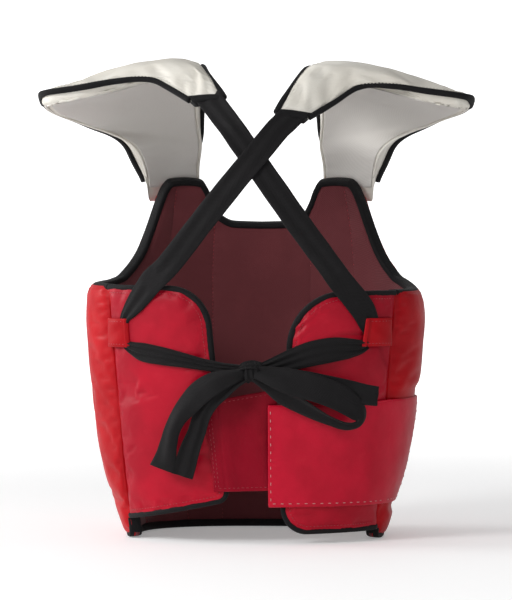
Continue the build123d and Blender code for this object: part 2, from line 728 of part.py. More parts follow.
def pad_hem_tape(side):
    """Tape behind the rear hem, where the cross strap is sewn on."""
    neck, outer = pad_point(side, 1.0, 0.0, 0), pad_point(side, 1.0, 1.0, 0)
    normal = pad_normal(side, 1.0, 0.5)
    middle = (neck + outer) * 0.5
    rear = middle - pad_point(side, 0.98, 0.5, 0)
    rear = (rear - normal * rear.dot(normal)).normalized()
    hem = outer - neck
    return ribbon([
        (middle + rear * 1.2 - normal * 7.2, hem, normal, hem.length + 1.0, 7.6),
        (middle + rear * 8.0 - normal * 5.4, hem, normal, hem.length - 1.0, 5.0)])


for side, side_name in SIDES:
    pad = f"{side_name}_pad"
    alongs, acrosses = lin(0.0, 1.0, 25), lin(0.0, 1.0, 15)
    put(f"{pad}_top_cover", pad_layer(side, alongs, acrosses,
                                      lambda along: 0.0, lambda along: COVER_T))
    put(f"{pad}_foam", pad_layer(side, lin(0.07, 0.97, 21), lin(0.04, 0.95, 15),
                                 lambda along: COVER_T + PAD_FOAM_GAP,
                                 lambda along: pad_thick(along) - COVER_T - PAD_FOAM_GAP))
    put(f"{pad}_under_cover", pad_layer(side, alongs, acrosses,
                                        lambda along: pad_thick(along) - COVER_T, pad_thick))
    put(f"{pad}_outer_binding", pad_binding(side, 1.0, lin(0.10, 0.985, 56)))
    put(f"{pad}_neck_binding", pad_binding(side, 0.0, lin(0.10, 0.98, 30)))
    put(f"{pad}_hem_tape", pad_hem_tape(side))
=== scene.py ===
import math

import bmesh
import bpy
import numpy as np
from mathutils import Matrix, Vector
from numpy import cos, cross, exp, linspace, pi, sin


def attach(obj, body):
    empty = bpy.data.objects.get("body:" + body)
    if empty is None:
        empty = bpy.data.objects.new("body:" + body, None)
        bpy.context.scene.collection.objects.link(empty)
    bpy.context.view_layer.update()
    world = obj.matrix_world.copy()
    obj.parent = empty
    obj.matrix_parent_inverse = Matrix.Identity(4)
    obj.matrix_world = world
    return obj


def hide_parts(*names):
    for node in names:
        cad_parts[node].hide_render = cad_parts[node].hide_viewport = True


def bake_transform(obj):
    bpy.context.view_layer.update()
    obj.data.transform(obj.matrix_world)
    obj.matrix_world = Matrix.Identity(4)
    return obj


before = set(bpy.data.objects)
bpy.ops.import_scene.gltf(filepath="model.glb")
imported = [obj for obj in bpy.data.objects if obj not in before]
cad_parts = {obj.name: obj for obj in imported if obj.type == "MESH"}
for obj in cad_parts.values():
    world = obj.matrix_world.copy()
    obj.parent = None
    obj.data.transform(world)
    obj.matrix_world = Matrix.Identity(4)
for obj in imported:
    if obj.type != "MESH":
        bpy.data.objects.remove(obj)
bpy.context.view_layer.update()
SHIFT = np.array([0.22, 3.14, 0.0])      # from the drawing's origin to the CAD's
SIDE = {1: "left", -1: "right"}

# ------------------------------------------------------------------ torso section
# height, half width or depth from the middle
HALF_WIDTH = [(-20, 122), (0, 124), (18, 126.5), (36, 131), (56, 138), (86, 145), (120, 150),
              (150, 153), (180, 155.5), (210, 157.5), (244, 158), (280, 154), (310, 148),
              (345, 139), (380, 128), (420, 112)]
BACK_DEPTH = [(-20, 96), (0, 97), (60, 100), (120, 106), (180, 111), (240, 114), (300, 114),
              (340, 110), (380, 99), (420, 78)]
FRONT_DEPTH = [(-20, 113), (0, 114), (60, 117), (120, 123), (180, 130), (240, 134), (280, 132),
               (310, 126), (340, 115), (370, 98), (420, 70)]
# degrees from the front middle, height of the trunk's top edge
TRUNK_TOP = [(0, 293), (8, 294), (13, 300), (17, 314), (20, 328), (22.5, 334.5), (30, 336),
             (37, 335), (40, 329), (42, 316), (45, 290), (49, 267), (55, 251), (63, 241),
             (74, 238.6), (130, 238.6)]
SEAM_TOP, SEAM_LOW = (139.0, 243.0), (121.0, 26.0)      # x, z of the side seam's ends
ROUNDNESS = 2.4                                         # superellipse power of the section


def hermite(stations, values, slopes, at):
    """Cubic curve through the values with the given slopes."""
    i = np.clip(np.searchsorted(stations, at, side="right") - 1, 0, len(stations) - 2)
    gap = stations[i + 1] - stations[i]
    t = (at - stations[i]) / gap
    return ((1 + 2 * t) * (1 - t) ** 2 * values[i] + t * (1 - t) ** 2 * gap * slopes[i]
            + t * t * (3 - 2 * t) * values[i + 1] + t * t * (t - 1) * gap * slopes[i + 1])


def monotone(table, at):
    """Curve through (station, value) rows that never overshoots them, level past its ends."""
    stations, values = np.array(table, float).T
    gap = np.diff(stations)
    rise = np.diff(values) / gap
    before, after = rise[:-1], rise[1:]
    weight_before, weight_after = 2 * gap[1:] + gap[:-1], gap[1:] + 2 * gap[:-1]
    with np.errstate(divide="ignore", invalid="ignore"):
        mean = (weight_before + weight_after) / (weight_before / before + weight_after / after)
    slopes = np.array([rise[0], *np.where(before * after <= 0, 0, mean), rise[-1]])
    return hermite(stations, values, slopes, np.clip(at, stations[0], stations[-1]))


HEIGHTS = linspace(-20, 420, 881)
WIDTHS, BACKS, FRONTS = (monotone(t, HEIGHTS) for t in (HALF_WIDTH, BACK_DEPTH, FRONT_DEPTH))
TOP_DEGREES = linspace(0, 130, 521)
TOP_HEIGHTS = monotone(TRUNK_TOP, TOP_DEGREES)


def size(vectors):
    return np.linalg.norm(vectors, axis=-1)


def unit(vectors):
    return vectors / np.maximum(size(vectors)[..., None], 1e-9)


def section(angle, z, offset=0.0):
    """Point of the torso at an angle from +x towards the back, offset mm outwards."""
    angle, z, offset = np.broadcast_arrays(angle, z, offset)
    c, s = cos(angle), sin(angle)
    half = np.interp(z, HEIGHTS, WIDTHS) + offset
    depth = np.where(s >= 0, np.interp(z, HEIGHTS, BACKS), np.interp(z, HEIGHTS, FRONTS)) + offset
    x = half * np.sign(c) * np.abs(c) ** (2 / ROUNDNESS)
    y = depth * np.sign(s) * np.abs(s) ** (2 / ROUNDNESS)
    return np.stack([x, y, z], -1)


def normal(angle, z):
    """Outward normal of the section."""
    step = 0.004
    around = section(angle + step, z) - section(angle - step, z)
    up = section(angle, z + 1) - section(angle, z - 1)
    result = cross(around, up)
    result /= size(result)[..., None]
    point = section(angle, z)
    outward = np.sign(result[..., 0] * point[..., 0] + result[..., 1] * point[..., 1])
    return result * outward[..., None]


def back_angle(x, z):
    """Angle of the back's point at x."""
    c = np.clip(x / np.interp(z, HEIGHTS, WIDTHS), -1, 1)
    return np.arccos(np.sign(c) * np.abs(c) ** (ROUNDNESS / 2))


def back_point(x, z, offset=0.0):
    return section(back_angle(x, z), z, offset)


def back_normal(x, z):
    return normal(back_angle(x, z), z)


def front_point(x, z, offset):
    return section(-back_angle(x, z), z, offset)


def front(degrees):
    """Section angle from degrees off the front middle."""
    return np.radians(-90 + degrees)


def arc_shift(angle, z, distance):
    """Angle moved by a distance along the surface, positive towards larger angles."""
    return angle + distance * 0.01 / size(section(angle + 0.01, z) - section(angle, z))


def seam_x(z):
    return SEAM_LOW[0] + (SEAM_TOP[0] - SEAM_LOW[0]) * (z - SEAM_LOW[1]) / (SEAM_TOP[1] - SEAM_LOW[1])


def seam_angle(z):
    return back_angle(seam_x(z), z)


def beside_seam(z, distance):
    """Angle at a distance from the left seam, positive towards the back."""
    return arc_shift(seam_angle(z), z, distance)


def seam_degrees(z, clear):
    """Degrees from the front middle to the point clear mm in front of the seam."""
    return 90 + np.degrees(beside_seam(z, -clear))


# ------------------------------------------------------------------ curves and surface relief
def wobble(points, wavelength, seed):
    """Smooth repeatable noise, about -1..1."""
    random = np.random.RandomState(seed)
    total = np.zeros(points.shape[:-1])
    waves = 7
    for _ in range(waves):
        direction = random.normal(size=3)
        direction /= np.linalg.norm(direction)
        number = 2 * pi / (wavelength * random.uniform(0.7, 1.5))
        total += sin(points @ direction * number + random.uniform(0, 6.28))
    return total / math.sqrt(waves) * 0.9


def ease(t):
    t = np.clip(t, 0, 1)
    return t * t * (3 - 2 * t)


def fade(distance, reach):
    return exp(-distance / reach)


def peak(distance, width):
    return exp(-(distance / width) ** 2)


def wave(distance, length, shift=0.0):
    return sin(2 * pi * distance / length + shift)


def arc_length(points):
    return np.concatenate([[0], np.cumsum(size(np.diff(points, axis=0)))])


def steps(grid, axis=0):
    """Spacing of a grid's points along one of its directions."""
    return size(np.gradient(grid, axis=axis))


def tangents(path):
    return unit(np.gradient(path, axis=0))


def sample(rows, along, at):
    """Rows of numbers given at distances along, read at others."""
    return np.stack([np.interp(at, along, column) for column in rows.T], -1)


def resample(rows, count, trim=0.0):
    """Rows evenly spread by the length of their first three columns, trim mm off both ends."""
    along = arc_length(rows[:, :3])
    return sample(rows, along, linspace(trim, along[-1] - trim, count))


def spline(rows, count):
    """Catmull-Rom through the rows, evenly sampled."""
    rows = np.asarray(rows, float)
    last = len(rows) - 1
    t = linspace(0, last, max(200, count * 6))
    i = np.clip(t.astype(int), 0, last - 1)
    t = (t - i)[:, None]
    before, start, end, after = (rows[np.clip(i + k, 0, last)] for k in (-1, 0, 1, 2))
    return resample(0.5 * (2 * start + (end - before) * t
                           + (2 * before - 5 * start + 4 * end - after) * t ** 2
                           + (-before + 3 * start - 3 * end + after) * t ** 3), count)


def smooth(values, kernel, **padding):
    """Running average with padded ends."""
    padded = np.pad(values, len(kernel) // 2, **padding)
    return np.convolve(padded, kernel / kernel.sum(), "valid")


def pair(first, second):
    return np.stack(np.broadcast_arrays(first, second), -1)


def mirror_for(side):
    return np.array([side, 1, 1.0])


# ------------------------------------------------------------------ mesh builders
def configure(target, **values):
    for key, value in values.items():
        setattr(target, key, value)


def new_object(name, vertices, faces, uv=None):
    """Object from vertices in metres and UVs in mm, its faces turned outwards."""
    mesh = bpy.data.meshes.new(name)
    mesh.from_pydata(vertices.tolist(), [], [tuple(int(i) for i in face) for face in faces])
    if uv is not None:
        layer = mesh.uv_layers.new(name="UVMap")
        corners = np.zeros(len(mesh.loops), int)
        mesh.loops.foreach_get("vertex_index", corners)
        uv = np.reshape(uv, (-1, 2)) / 1000
        layer.data.foreach_set("uv", uv[corners].astype(np.float32).ravel())
    work = bmesh.new()
    work.from_mesh(mesh)
    bmesh.ops.recalc_face_normals(work, faces=work.faces)
    work.to_mesh(mesh)
    work.free()
    piece = bpy.data.objects.new(name, mesh)
    bpy.context.scene.collection.objects.link(piece)
    return piece


def make(name, vertices, faces, material, uv=None):
    """Smooth piece from vertices in the drawing's mm."""
    piece = new_object(name, (np.reshape(vertices, (-1, 3)) + SHIFT) / 1000, faces, uv)
    mesh = piece.data
    mesh.polygons.foreach_set("use_smooth", [True] * len(mesh.polygons))
    mesh.materials.append(material)
    return piece


def place(piece, slot, body=None, *replaced):
    """Hide the CAD pieces this one replaces and attach the piece to the body it rides. slot is not
    used.
    """
    if replaced:
        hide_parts(*replaced)
    if body is not None:
        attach(piece, body)


def blend(piece, start, end):
    """Bake the piece's transform into its mesh. start and end are turned into metres but not used."""
    start, end = (tuple((point + SHIFT) / 1000) for point in (start, end))
    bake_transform(piece)


def skins(shape):
    """Vertex numbers of a grid, and the faces of two such grids back to back."""
    grid = np.arange(shape[0] * shape[1]).reshape(shape[:2])
    quads = np.stack([grid[:-1, :-1], grid[1:, :-1], grid[1:, 1:], grid[:-1, 1:]], -1)
    quads = quads.reshape(-1, 4)
    return grid, [*quads, *(quads[:, ::-1] + grid.size)]


def border(grid, inset=0):
    """The grid's outermost values in order round it; inset 1 gives their inner neighbours."""
    near, far = inset, -1 - inset
    return np.concatenate([grid[:, near], grid[far, 1:], grid[-2::-1, far], grid[near, -2:0:-1]])


def ring_faces(first, second):
    return list(np.stack([first, np.roll(first, -1), np.roll(second, -1), second], -1))


def shell(name, outer, inner, material, uv, rim=2, bulge=0.0, flat=()):
    """Closed solid between two grids, with rounded rims. flat names the rows (0 or -1) that are
    cut square, where another piece carries the surface on."""
    grid, faces = skins(outer.shape)
    edge = border(grid)
    vertices = np.concatenate([outer.reshape(-1, 3), inner.reshape(-1, 3)])
    uv = uv.reshape(-1, 2)
    outward = unit(vertices[edge] - vertices[border(grid, 1)])
    outward = outward * ~np.isin(edge, grid[list(flat)])[:, None]
    edge_start, edge_end = vertices[edge], vertices[edge + grid.size]
    rings, groups = [edge], [vertices]
    for k in range(1, rim + 1):
        f = k / (rim + 1)
        swell = np.reshape(bulge, (-1, 1)) * math.sin(pi * f)
        groups.append(edge_start * (1 - f) + edge_end * f + outward * swell)
        rings.append(2 * grid.size + (k - 1) * len(edge) + np.arange(len(edge)))
    rings.append(edge + grid.size)
    for first, second in zip(rings, rings[1:]):
        faces += ring_faces(first, second)
    uv = np.concatenate([uv, uv] + [uv[edge]] * rim)
    piece = make(name, np.concatenate(groups), faces, material, uv)
    cuts = [set((grid[end] + layer).tolist()) for end in flat for layer in (0, grid.size)]
    for line in piece.data.edges:
        if any(cut.issuperset(line.vertices) for cut in cuts):
            line.use_edge_sharp = True
    return piece


CLOTH_FRAMES = 20


def puff(outer, behind, pinned, pressure, travel, growth, bending=0.4):
    """Cloth simulation of a padded skin over the grid behind it. pinned (0..1) holds the sewn
    lines, travel caps the movement in mm. Grids are halved, simulated, and the movement is
    spread back over the full grid."""
    skin, rear = outer[::2, ::2], behind[::2, ::2]
    grid, faces = skins(skin.shape)
    edge = border(grid)
    vertices = np.concatenate([skin.reshape(-1, 3), rear.reshape(-1, 3)]) / 1000
    cloth = new_object("puff", vertices, faces + ring_faces(edge, edge + grid.size))
    group = cloth.vertex_groups.new(name="pin")
    weights = np.concatenate([pinned[::2, ::2].reshape(-1), np.ones(grid.size)])
    weights[edge] = 1.0
    for i, weight in enumerate(weights):
        if weight > 0.01:
            group.add([i], float(weight), "REPLACE")
    modifier = cloth.modifiers.new("cloth", "CLOTH")
    configure(modifier.settings, quality=4, mass=0.25, tension_stiffness=12,
              compression_stiffness=12, shear_stiffness=5, bending_stiffness=bending,
              air_damping=2, use_pressure=True, uniform_pressure_force=pressure,
              shrink_min=-growth, vertex_group_mass="pin", pin_stiffness=1.0)
    modifier.settings.effector_weights.gravity = 0
    modifier.collision_settings.use_collision = False
    configure(modifier.point_cache, frame_start=1, frame_end=CLOTH_FRAMES)
    scene = bpy.context.scene
    for number in range(1, CLOTH_FRAMES + 1):
        scene.frame_set(number)
    result = cloth.evaluated_get(bpy.context.evaluated_depsgraph_get()).data.vertices
    places = np.zeros(len(result) * 3)
    result.foreach_get("co", places)
    moved = places.reshape(-1, 3)[:grid.size] - vertices[:grid.size]
    moved = moved.reshape(skin.shape) * 1000
    mesh = cloth.data
    bpy.data.objects.remove(cloth)
    bpy.data.meshes.remove(mesh)
    scene.frame_set(1)
    if not np.isfinite(moved).all():      # the simulation blew up: leave the skin as drawn
        return outer
    moved = moved * np.minimum(1, travel / np.maximum(size(moved)[..., None], 1e-9))
    full = np.zeros(outer.shape)
    full[::2, ::2] = moved
    full[1::2, ::2] = (moved[:-1] + moved[1:]) / 2
    full[:, 1::2] = (full[:, :-2:2] + full[:, 2::2]) / 2
    return outer + full


def hold(points, drawn, offset, normals, ceiling):
    """Keep a puffed skin under the ceiling, measured along the normals, with a soft shoulder."""
    soft = 0.35
    height = offset + ((points - drawn) * normals).sum(-1)
    limited = ceiling - soft * np.logaddexp(0, (ceiling - height) / soft)
    low = np.where(height < ceiling - 4 * soft, height, limited)
    return points + normals * (np.minimum(low, height) - height)[..., None]


def ribbon_grid(path, normals, width, thickness, columns, fold, waves, phase=0.6,
                full_width=25.0, cup=0.0, fold_limit=1.3):
    """Two faces and UVs of webbing. Narrowed webbing is gathered into lengthwise folds."""
    normals = unit(normals)
    width = np.broadcast_to(width, len(path))[:, None]
    tangent = tangents(path)
    aside = unit(cross(tangent, normals))
    normals = unit(cross(aside, tangent))[:, None]
    across = linspace(-1, 1, columns)[None]
    ratio = np.clip(full_width / np.maximum(width, 1), 1, 6)
    depth = fold * width / (waves * 2) * np.sqrt(np.maximum(ratio ** 2 - 1, 0)) * 0.5
    along = arc_length(path)[:, None]
    height = (np.minimum(depth, fold_limit) * sin(waves * pi * across + phase + 0.02 * along)
              + cup * across ** 2)
    half = thickness / 2 * (1 - 0.5 * np.abs(across) ** 10)
    middle = path[:, None] + aside[:, None] * (across * width / 2)[..., None]
    upper = middle + normals * (height + half)[..., None]
    lower = middle + normals * (height - half)[..., None]
    return upper, lower, pair(along, across * full_width / 2)


def ribbon(name, body, replaced, path, normals, width, thickness, **folds):
    upper, lower, uv = ribbon_grid(path, normals, width, thickness, **folds)
    piece = shell(name, upper, lower, WEBBING, uv, rim=1, bulge=thickness * 0.18)
    place(piece, "black_webbing", body, *replaced)


def sweep(name, path, out, normals, width, thickness, material, corners, power):
    """Rounded profile swept along a path. out points away from the panel across its edge."""
    count = len(path)
    angle = linspace(0, 2 * pi, corners, endpoint=False)
    c, s = cos(angle), sin(angle)
    wide = np.sign(c) * np.abs(c) ** (2 / power)
    high = np.sign(s) * np.abs(s) ** (2 / power)
    out, normals = (np.broadcast_to(a, path.shape)[:, None] for a in (out, normals))
    width, thickness = (np.broadcast_to(a, count)[:, None] for a in (width, thickness))
    vertices = (path[:, None] + out * (wide * width / 2)[..., None]
                + normals * (high * thickness / 2)[..., None])
    around = np.concatenate([[0], np.cumsum(np.hypot(np.diff(wide) * 2.5, np.diff(high) * 4))])
    faces = []
    for i in range(count - 1):
        ring = i * corners + np.arange(corners)
        following = ring + corners
        faces += list(np.stack([ring, following, np.roll(following, -1), np.roll(ring, -1)], -1))
    faces += [range(corners), range(count * corners - 1, (count - 1) * corners - 1, -1)]
    return make(name, vertices, faces, material, pair(arc_length(path)[:, None], around))


# One thread dash: two end points, then two rings of six
DASH_SIZE = 14
DASH = []
for k in range(6):
    k2 = (k + 1) % 6
    DASH += [(0, 2 + k2, 2 + k), (2 + k, 2 + k2, 8 + k2, 8 + k), (1, 8 + k, 8 + k2)]


def stitch(name, rows, material, slot, body, pitch=3.4, length=2.4, radius=0.34):
    """Thread dashes along rows of (points, normals)."""
    dashes = []
    turn = (np.arange(6) * pi / 3)[:, None]
    for points, normals in rows:
        along = arc_length(points)
        count = max(1, int(along[-1] / pitch))
        middles = (np.arange(count) + 0.5) / count * along[-1]
        first = sample(points, along, middles - length / 2)
        last = sample(points, along, middles + length / 2)
        up = unit(sample(unit(normals), along, middles))
        aside = cross(up, unit(last - first))
        ring = (up[:, None] * sin(turn) + aside[:, None] * cos(turn)) * radius * 0.85
        ends = [(end - up * 0.15)[:, None] for end in (first, last)]
        rings = [(first * (1 - f) + last * f + up * 0.12)[:, None] + ring for f in (0.25, 0.75)]
        dashes.append(np.concatenate(ends + rings, axis=1).reshape(-1, 3))
    vertices = np.concatenate(dashes)
    faces = [[base + i for i in face]
             for base in range(0, len(vertices), DASH_SIZE) for face in DASH]
    place(make(name, vertices, faces, material), slot, body)


def pick_rows(points, normals, *picks):
    return [(points[pick], normals[pick]) for pick in picks]


# ------------------------------------------------------------------ materials
class Shader:
    """A material's node tree round one Principled shader."""

    def __init__(self, name):
        self.material = bpy.data.materials.new(name)
        self.material.use_nodes = True
        self.tree = self.material.node_tree
        self.tree.nodes.clear()
        output = self.node("ShaderNodeOutputMaterial")
        self.principled = self.node("ShaderNodeBsdfPrincipled")
        self.tree.links.new(self.principled.outputs[0], output.inputs[0])

    def node(self, kind, **settings):
        node = self.tree.nodes.new(kind)
        configure(node, **settings)
        return node

    def plug(self, socket, value):
        if isinstance(value, bpy.types.NodeSocket):
            self.tree.links.new(value, socket)
        elif isinstance(value, tuple) and socket.type == "RGBA":
            socket.default_value = (*value, 1)
        else:
            socket.default_value = value

    def wire(self, node, inputs, output=0):
        for key, value in inputs.items():
            self.plug(node.inputs[key], value)
        return node.outputs[output]

    def math(self, operation, *values):
        return self.wire(self.node("ShaderNodeMath", operation=operation), dict(enumerate(values)))

    def times(self, first, second):
        return self.math("MULTIPLY", first, second)

    def plus(self, first, second):
        return self.math("ADD", first, second)

    def coord(self, kind="Object"):
        return self.node("ShaderNodeTexCoord").outputs[kind]

    def noise(self, vector, scale, detail=3.0, rough=0.55, distortion=0.0):
        return self.wire(self.node("ShaderNodeTexNoise"), {
            "Vector": vector, "Scale": scale, "Detail": detail, "Roughness": rough,
            "Distortion": distortion}, "Fac")

    def cells(self, vector, scale):
        return self.wire(self.node("ShaderNodeTexVoronoi", feature="SMOOTH_F1"), {
            "Vector": vector, "Scale": scale, "Randomness": 1.0}, "Distance")

    def ramp(self, value, low, high, start=0.0, end=1.0):
        """Smooth step from start at low to end at high."""
        node = self.node("ShaderNodeMapRange", interpolation_type="SMOOTHSTEP")
        return self.wire(node, dict(enumerate((value, low, high, start, end))))

    def mix(self, factor, first, second):
        node = self.node("ShaderNodeMix", data_type="RGBA")
        return self.wire(node, {0: factor, 6: first, 7: second}, 2)

    def bump(self, height, strength, distance, normal=None):
        inputs = {"Strength": strength, "Distance": distance, "Height": height}
        if normal is not None:
            inputs["Normal"] = normal
        return self.wire(self.node("ShaderNodeBump"), inputs)

    def finish(self, **inputs):
        self.wire(self.principled, {key.replace("_", " "): v for key, v in inputs.items()})
        return self.material


def vinyl(name, base, dark, light, coat, spec=0.42, rough=(0.34, 0.52), grain=1.0, wear=0.3):
    """Blotched vinyl with leather grain, paler on worn edges, with painted shade darkening its
    creases.
    """
    net = Shader(name)
    spot = net.coord()
    blotch = net.noise(spot, scale=11.0, detail=4.0, rough=0.6)
    mottle = net.noise(spot, scale=55.0, detail=4.0, rough=0.6)
    fine = net.noise(spot, scale=700.0, detail=2.0)
    point = net.node("ShaderNodeNewGeometry").outputs["Pointiness"]
    color = net.mix(net.ramp(blotch, low=0.35, high=0.68), dark, base)
    color = net.mix(net.times(net.ramp(mottle, low=0.55, high=0.8), 0.25), color, light)
    edge = net.times(net.ramp(point, low=0.505, high=0.56),
                     net.times(net.ramp(mottle, low=0.4, high=0.65), wear))
    color = net.mix(edge, color, light)
    # painted shade: hollows and creases (low pointiness) are darkened towards half the dark colour
    crease_shade = net.times(net.ramp(point, low=0.5, high=0.44), 0.55)
    color = net.mix(crease_shade, color, tuple(c * 0.5 for c in dark))
    scuff = net.noise(spot, scale=240.0, detail=5.0, rough=0.7, distortion=1.2)
    roughness = net.plus(net.ramp(blotch, low=0.3, high=0.75, start=rough[1], end=rough[0]),
                         net.times(net.ramp(scuff, low=0.55, high=0.8), 0.12))
    cells = net.cells(spot, scale=950.0)
    relief = net.bump(mottle, strength=0.35, distance=0.0012)
    relief = net.bump(cells, strength=0.32 * grain, distance=0.00022, normal=relief)
    relief = net.bump(fine, strength=0.18 * grain, distance=0.00012, normal=relief)
    return net.finish(Base_Color=color, Roughness=roughness, Normal=relief, Coat_Weight=coat,
                      Coat_Roughness=0.3, IOR=1.46, Specular_IOR_Level=spec)


def woven(name, base, light, pitch, rough, sheen=0.25, use_uv=False, twill=False, strength=0.7,
          spec=0.3):
    """Plain weave, or a zigzag twill, with threads pitch mm apart."""
    net = Shader(name)
    split = net.node("ShaderNodeSeparateXYZ")
    net.plug(split.inputs[0], net.coord("UV" if use_uv else "Object"))
    if use_uv:
        along, across = split.outputs[0], split.outputs[1]
    else:
        along, across = net.plus(split.outputs[0], split.outputs[1]), split.outputs[2]
    number = 2 * pi / (pitch / 1000)
    if twill:
        zigzag = 12.5      # mm across one zigzag
        part = net.math("FRACT", net.times(across, 1000 / zigzag))
        slant = net.math("ABSOLUTE", net.math("SUBTRACT", part, 0.5))
        phase = net.plus(net.times(along, number),
                         net.times(slant, zigzag / pitch * 2 * pi * 0.9))
        ribs = net.math("MULTIPLY_ADD", net.math("SINE", phase), 0.5, 0.5)
        cords = net.math("SINE", net.times(across, number * 1.9))
        cords = net.math("MULTIPLY_ADD", cords, 0.5, 0.5)
        height = net.plus(net.times(ribs, 0.7), net.times(cords, 0.3))
    else:
        warp = net.math("SINE", net.times(along, number))
        weft = net.math("SINE", net.times(across, number))
        height = net.math("MULTIPLY_ADD", net.times(warp, weft), 0.5, 0.5)
    spot = net.coord()
    fuzz = net.noise(spot, scale=1400.0, detail=3.0, rough=0.7)
    blotch = net.noise(spot, scale=32.0, detail=4.0, rough=0.6)
    color = net.mix(height, base, light)
    color = net.mix(net.times(net.ramp(blotch, low=0.45, high=0.75), 0.45), color, light)
    color = net.mix(net.times(net.ramp(fuzz, low=0.62, high=0.85), 0.25), color,
                    tuple(min(1, c * 2.2 + 0.01) for c in light))
    relief = net.bump(blotch, strength=0.3, distance=0.0008)
    relief = net.bump(height, strength=strength, distance=0.0003, normal=relief)
    relief = net.bump(fuzz, strength=0.3, distance=0.00015, normal=relief)
    roughness = net.ramp(fuzz, low=0.2, high=0.8, start=rough - 0.08, end=rough + 0.08)
    return net.finish(Base_Color=color, Roughness=roughness, Normal=relief, Sheen_Weight=sheen,
                      Sheen_Roughness=0.5, IOR=1.45, Specular_IOR_Level=spec)


def thread(name, color):
    net = Shader(name)
    twist = net.noise(net.coord(), scale=2600.0, detail=2.0)
    return net.finish(Base_Color=net.mix(twist, tuple(c * 0.75 for c in color), color),
                      Roughness=0.6, Sheen_Weight=0.2,
                      Normal=net.bump(twist, strength=0.4, distance=0.0001))


RED = vinyl("red_vinyl", base=(0.44, 0.003, 0.019), dark=(0.31, 0.0015, 0.013),
            light=(0.56, 0.022, 0.042), coat=0.03, spec=0.17)
# Trunk, fold-strip and keeper vinyl: the wings' red vinyl made purer and less bluish, painted light
# for how the light falls on the side strips.
LIT_SIDE_RED = vinyl("red_side_vinyl_lit_tint", base=(0.46, 0.003, 0.008), dark=(0.34, 0.0015, 0.006),
                 light=(0.56, 0.012, 0.018), coat=0.02, spec=0.14, rough=(0.32, 0.5))
BELT = vinyl("red_belt_vinyl", base=(0.54, 0.004, 0.027), dark=(0.41, 0.002, 0.018),
             light=(0.62, 0.024, 0.042), coat=0.03, spec=0.18, rough=(0.30, 0.44))
# Waist band vinyl: the wings' red made much darker, painted shade for the band lying recessed between
# the wings under the bow.
BAND_PAINTED_SHADE = vinyl("red_band_vinyl_painted_shade", base=(0.25, 0.0015, 0.013), dark=(0.19, 0.001, 0.009),
             light=(0.36, 0.012, 0.022), coat=0.02, spec=0.1)
WHITE = vinyl("white_vinyl", base=(0.78, 0.755, 0.69), dark=(0.68, 0.645, 0.575),
              light=(0.84, 0.83, 0.79), coat=0.04, rough=(0.42, 0.58), grain=0.8, wear=0.2)
LINING = woven("lining_nylon", base=(0.085, 0.012, 0.016), light=(0.16, 0.028, 0.034),
               pitch=1.5, rough=0.72, sheen=0.2)
WHITE_LINING = woven("white_lining", base=(0.585, 0.56, 0.53), light=(0.645, 0.62, 0.585),
                     pitch=1.6, rough=0.8, sheen=0.1, strength=0.25)
BINDING = woven("black_binding", base=(0.0042, 0.0040, 0.0045), light=(0.011, 0.0105, 0.0115),
                pitch=1.1, rough=0.7, sheen=0.03, use_uv=True, strength=0.45, spec=0.16)
WEBBING = woven("black_webbing", base=(0.0045, 0.0042, 0.0045), light=(0.014, 0.013, 0.014),
                pitch=1.7, rough=0.74, sheen=0.04, use_uv=True, twill=True, spec=0.15)
HOOK = woven("hook_loop", base=(0.008, 0.007, 0.008), light=(0.03, 0.03, 0.03), pitch=1.6,
             rough=0.9, spec=0.15)
RED_THREAD = thread("red_thread", (0.36, 0.012, 0.025))
# Pale pinkish thread for the belt's stitches: the stitches are real, their pale colour is a painted
# glint along the belt's edges.
PALE_THREAD_GLINT = thread("pale_thread_painted_glint", (0.62, 0.30, 0.30))
WHITE_THREAD = thread("white_thread", (0.70, 0.67, 0.60))

# ------------------------------------------------------------------ trunk: front and sides
CHANNELS = [-72.0, -35.0, -15.5, 15.5, 35.0, 72.0]      # sewn channels, degrees from front middle
PANEL_STEPS = 30
TRUNK_LOW = 1.6           # height of the lower edge
TRUNK_OVER = 3.6          # the cover stands this far above the top line
TRUNK_CORNER = 5.0        # radius of the lower edge's free ends


def top_line(degrees):
    return np.interp(np.abs(degrees), TOP_DEGREES, TOP_HEIGHTS)


def trunk_top(degrees):
    """Top line, level with each wing's top edge at the side seams."""
    drop = np.where(degrees > 0, 0.9, 5.9) * ease((np.abs(degrees) - 62) / 26)
    return top_line(degrees) - drop


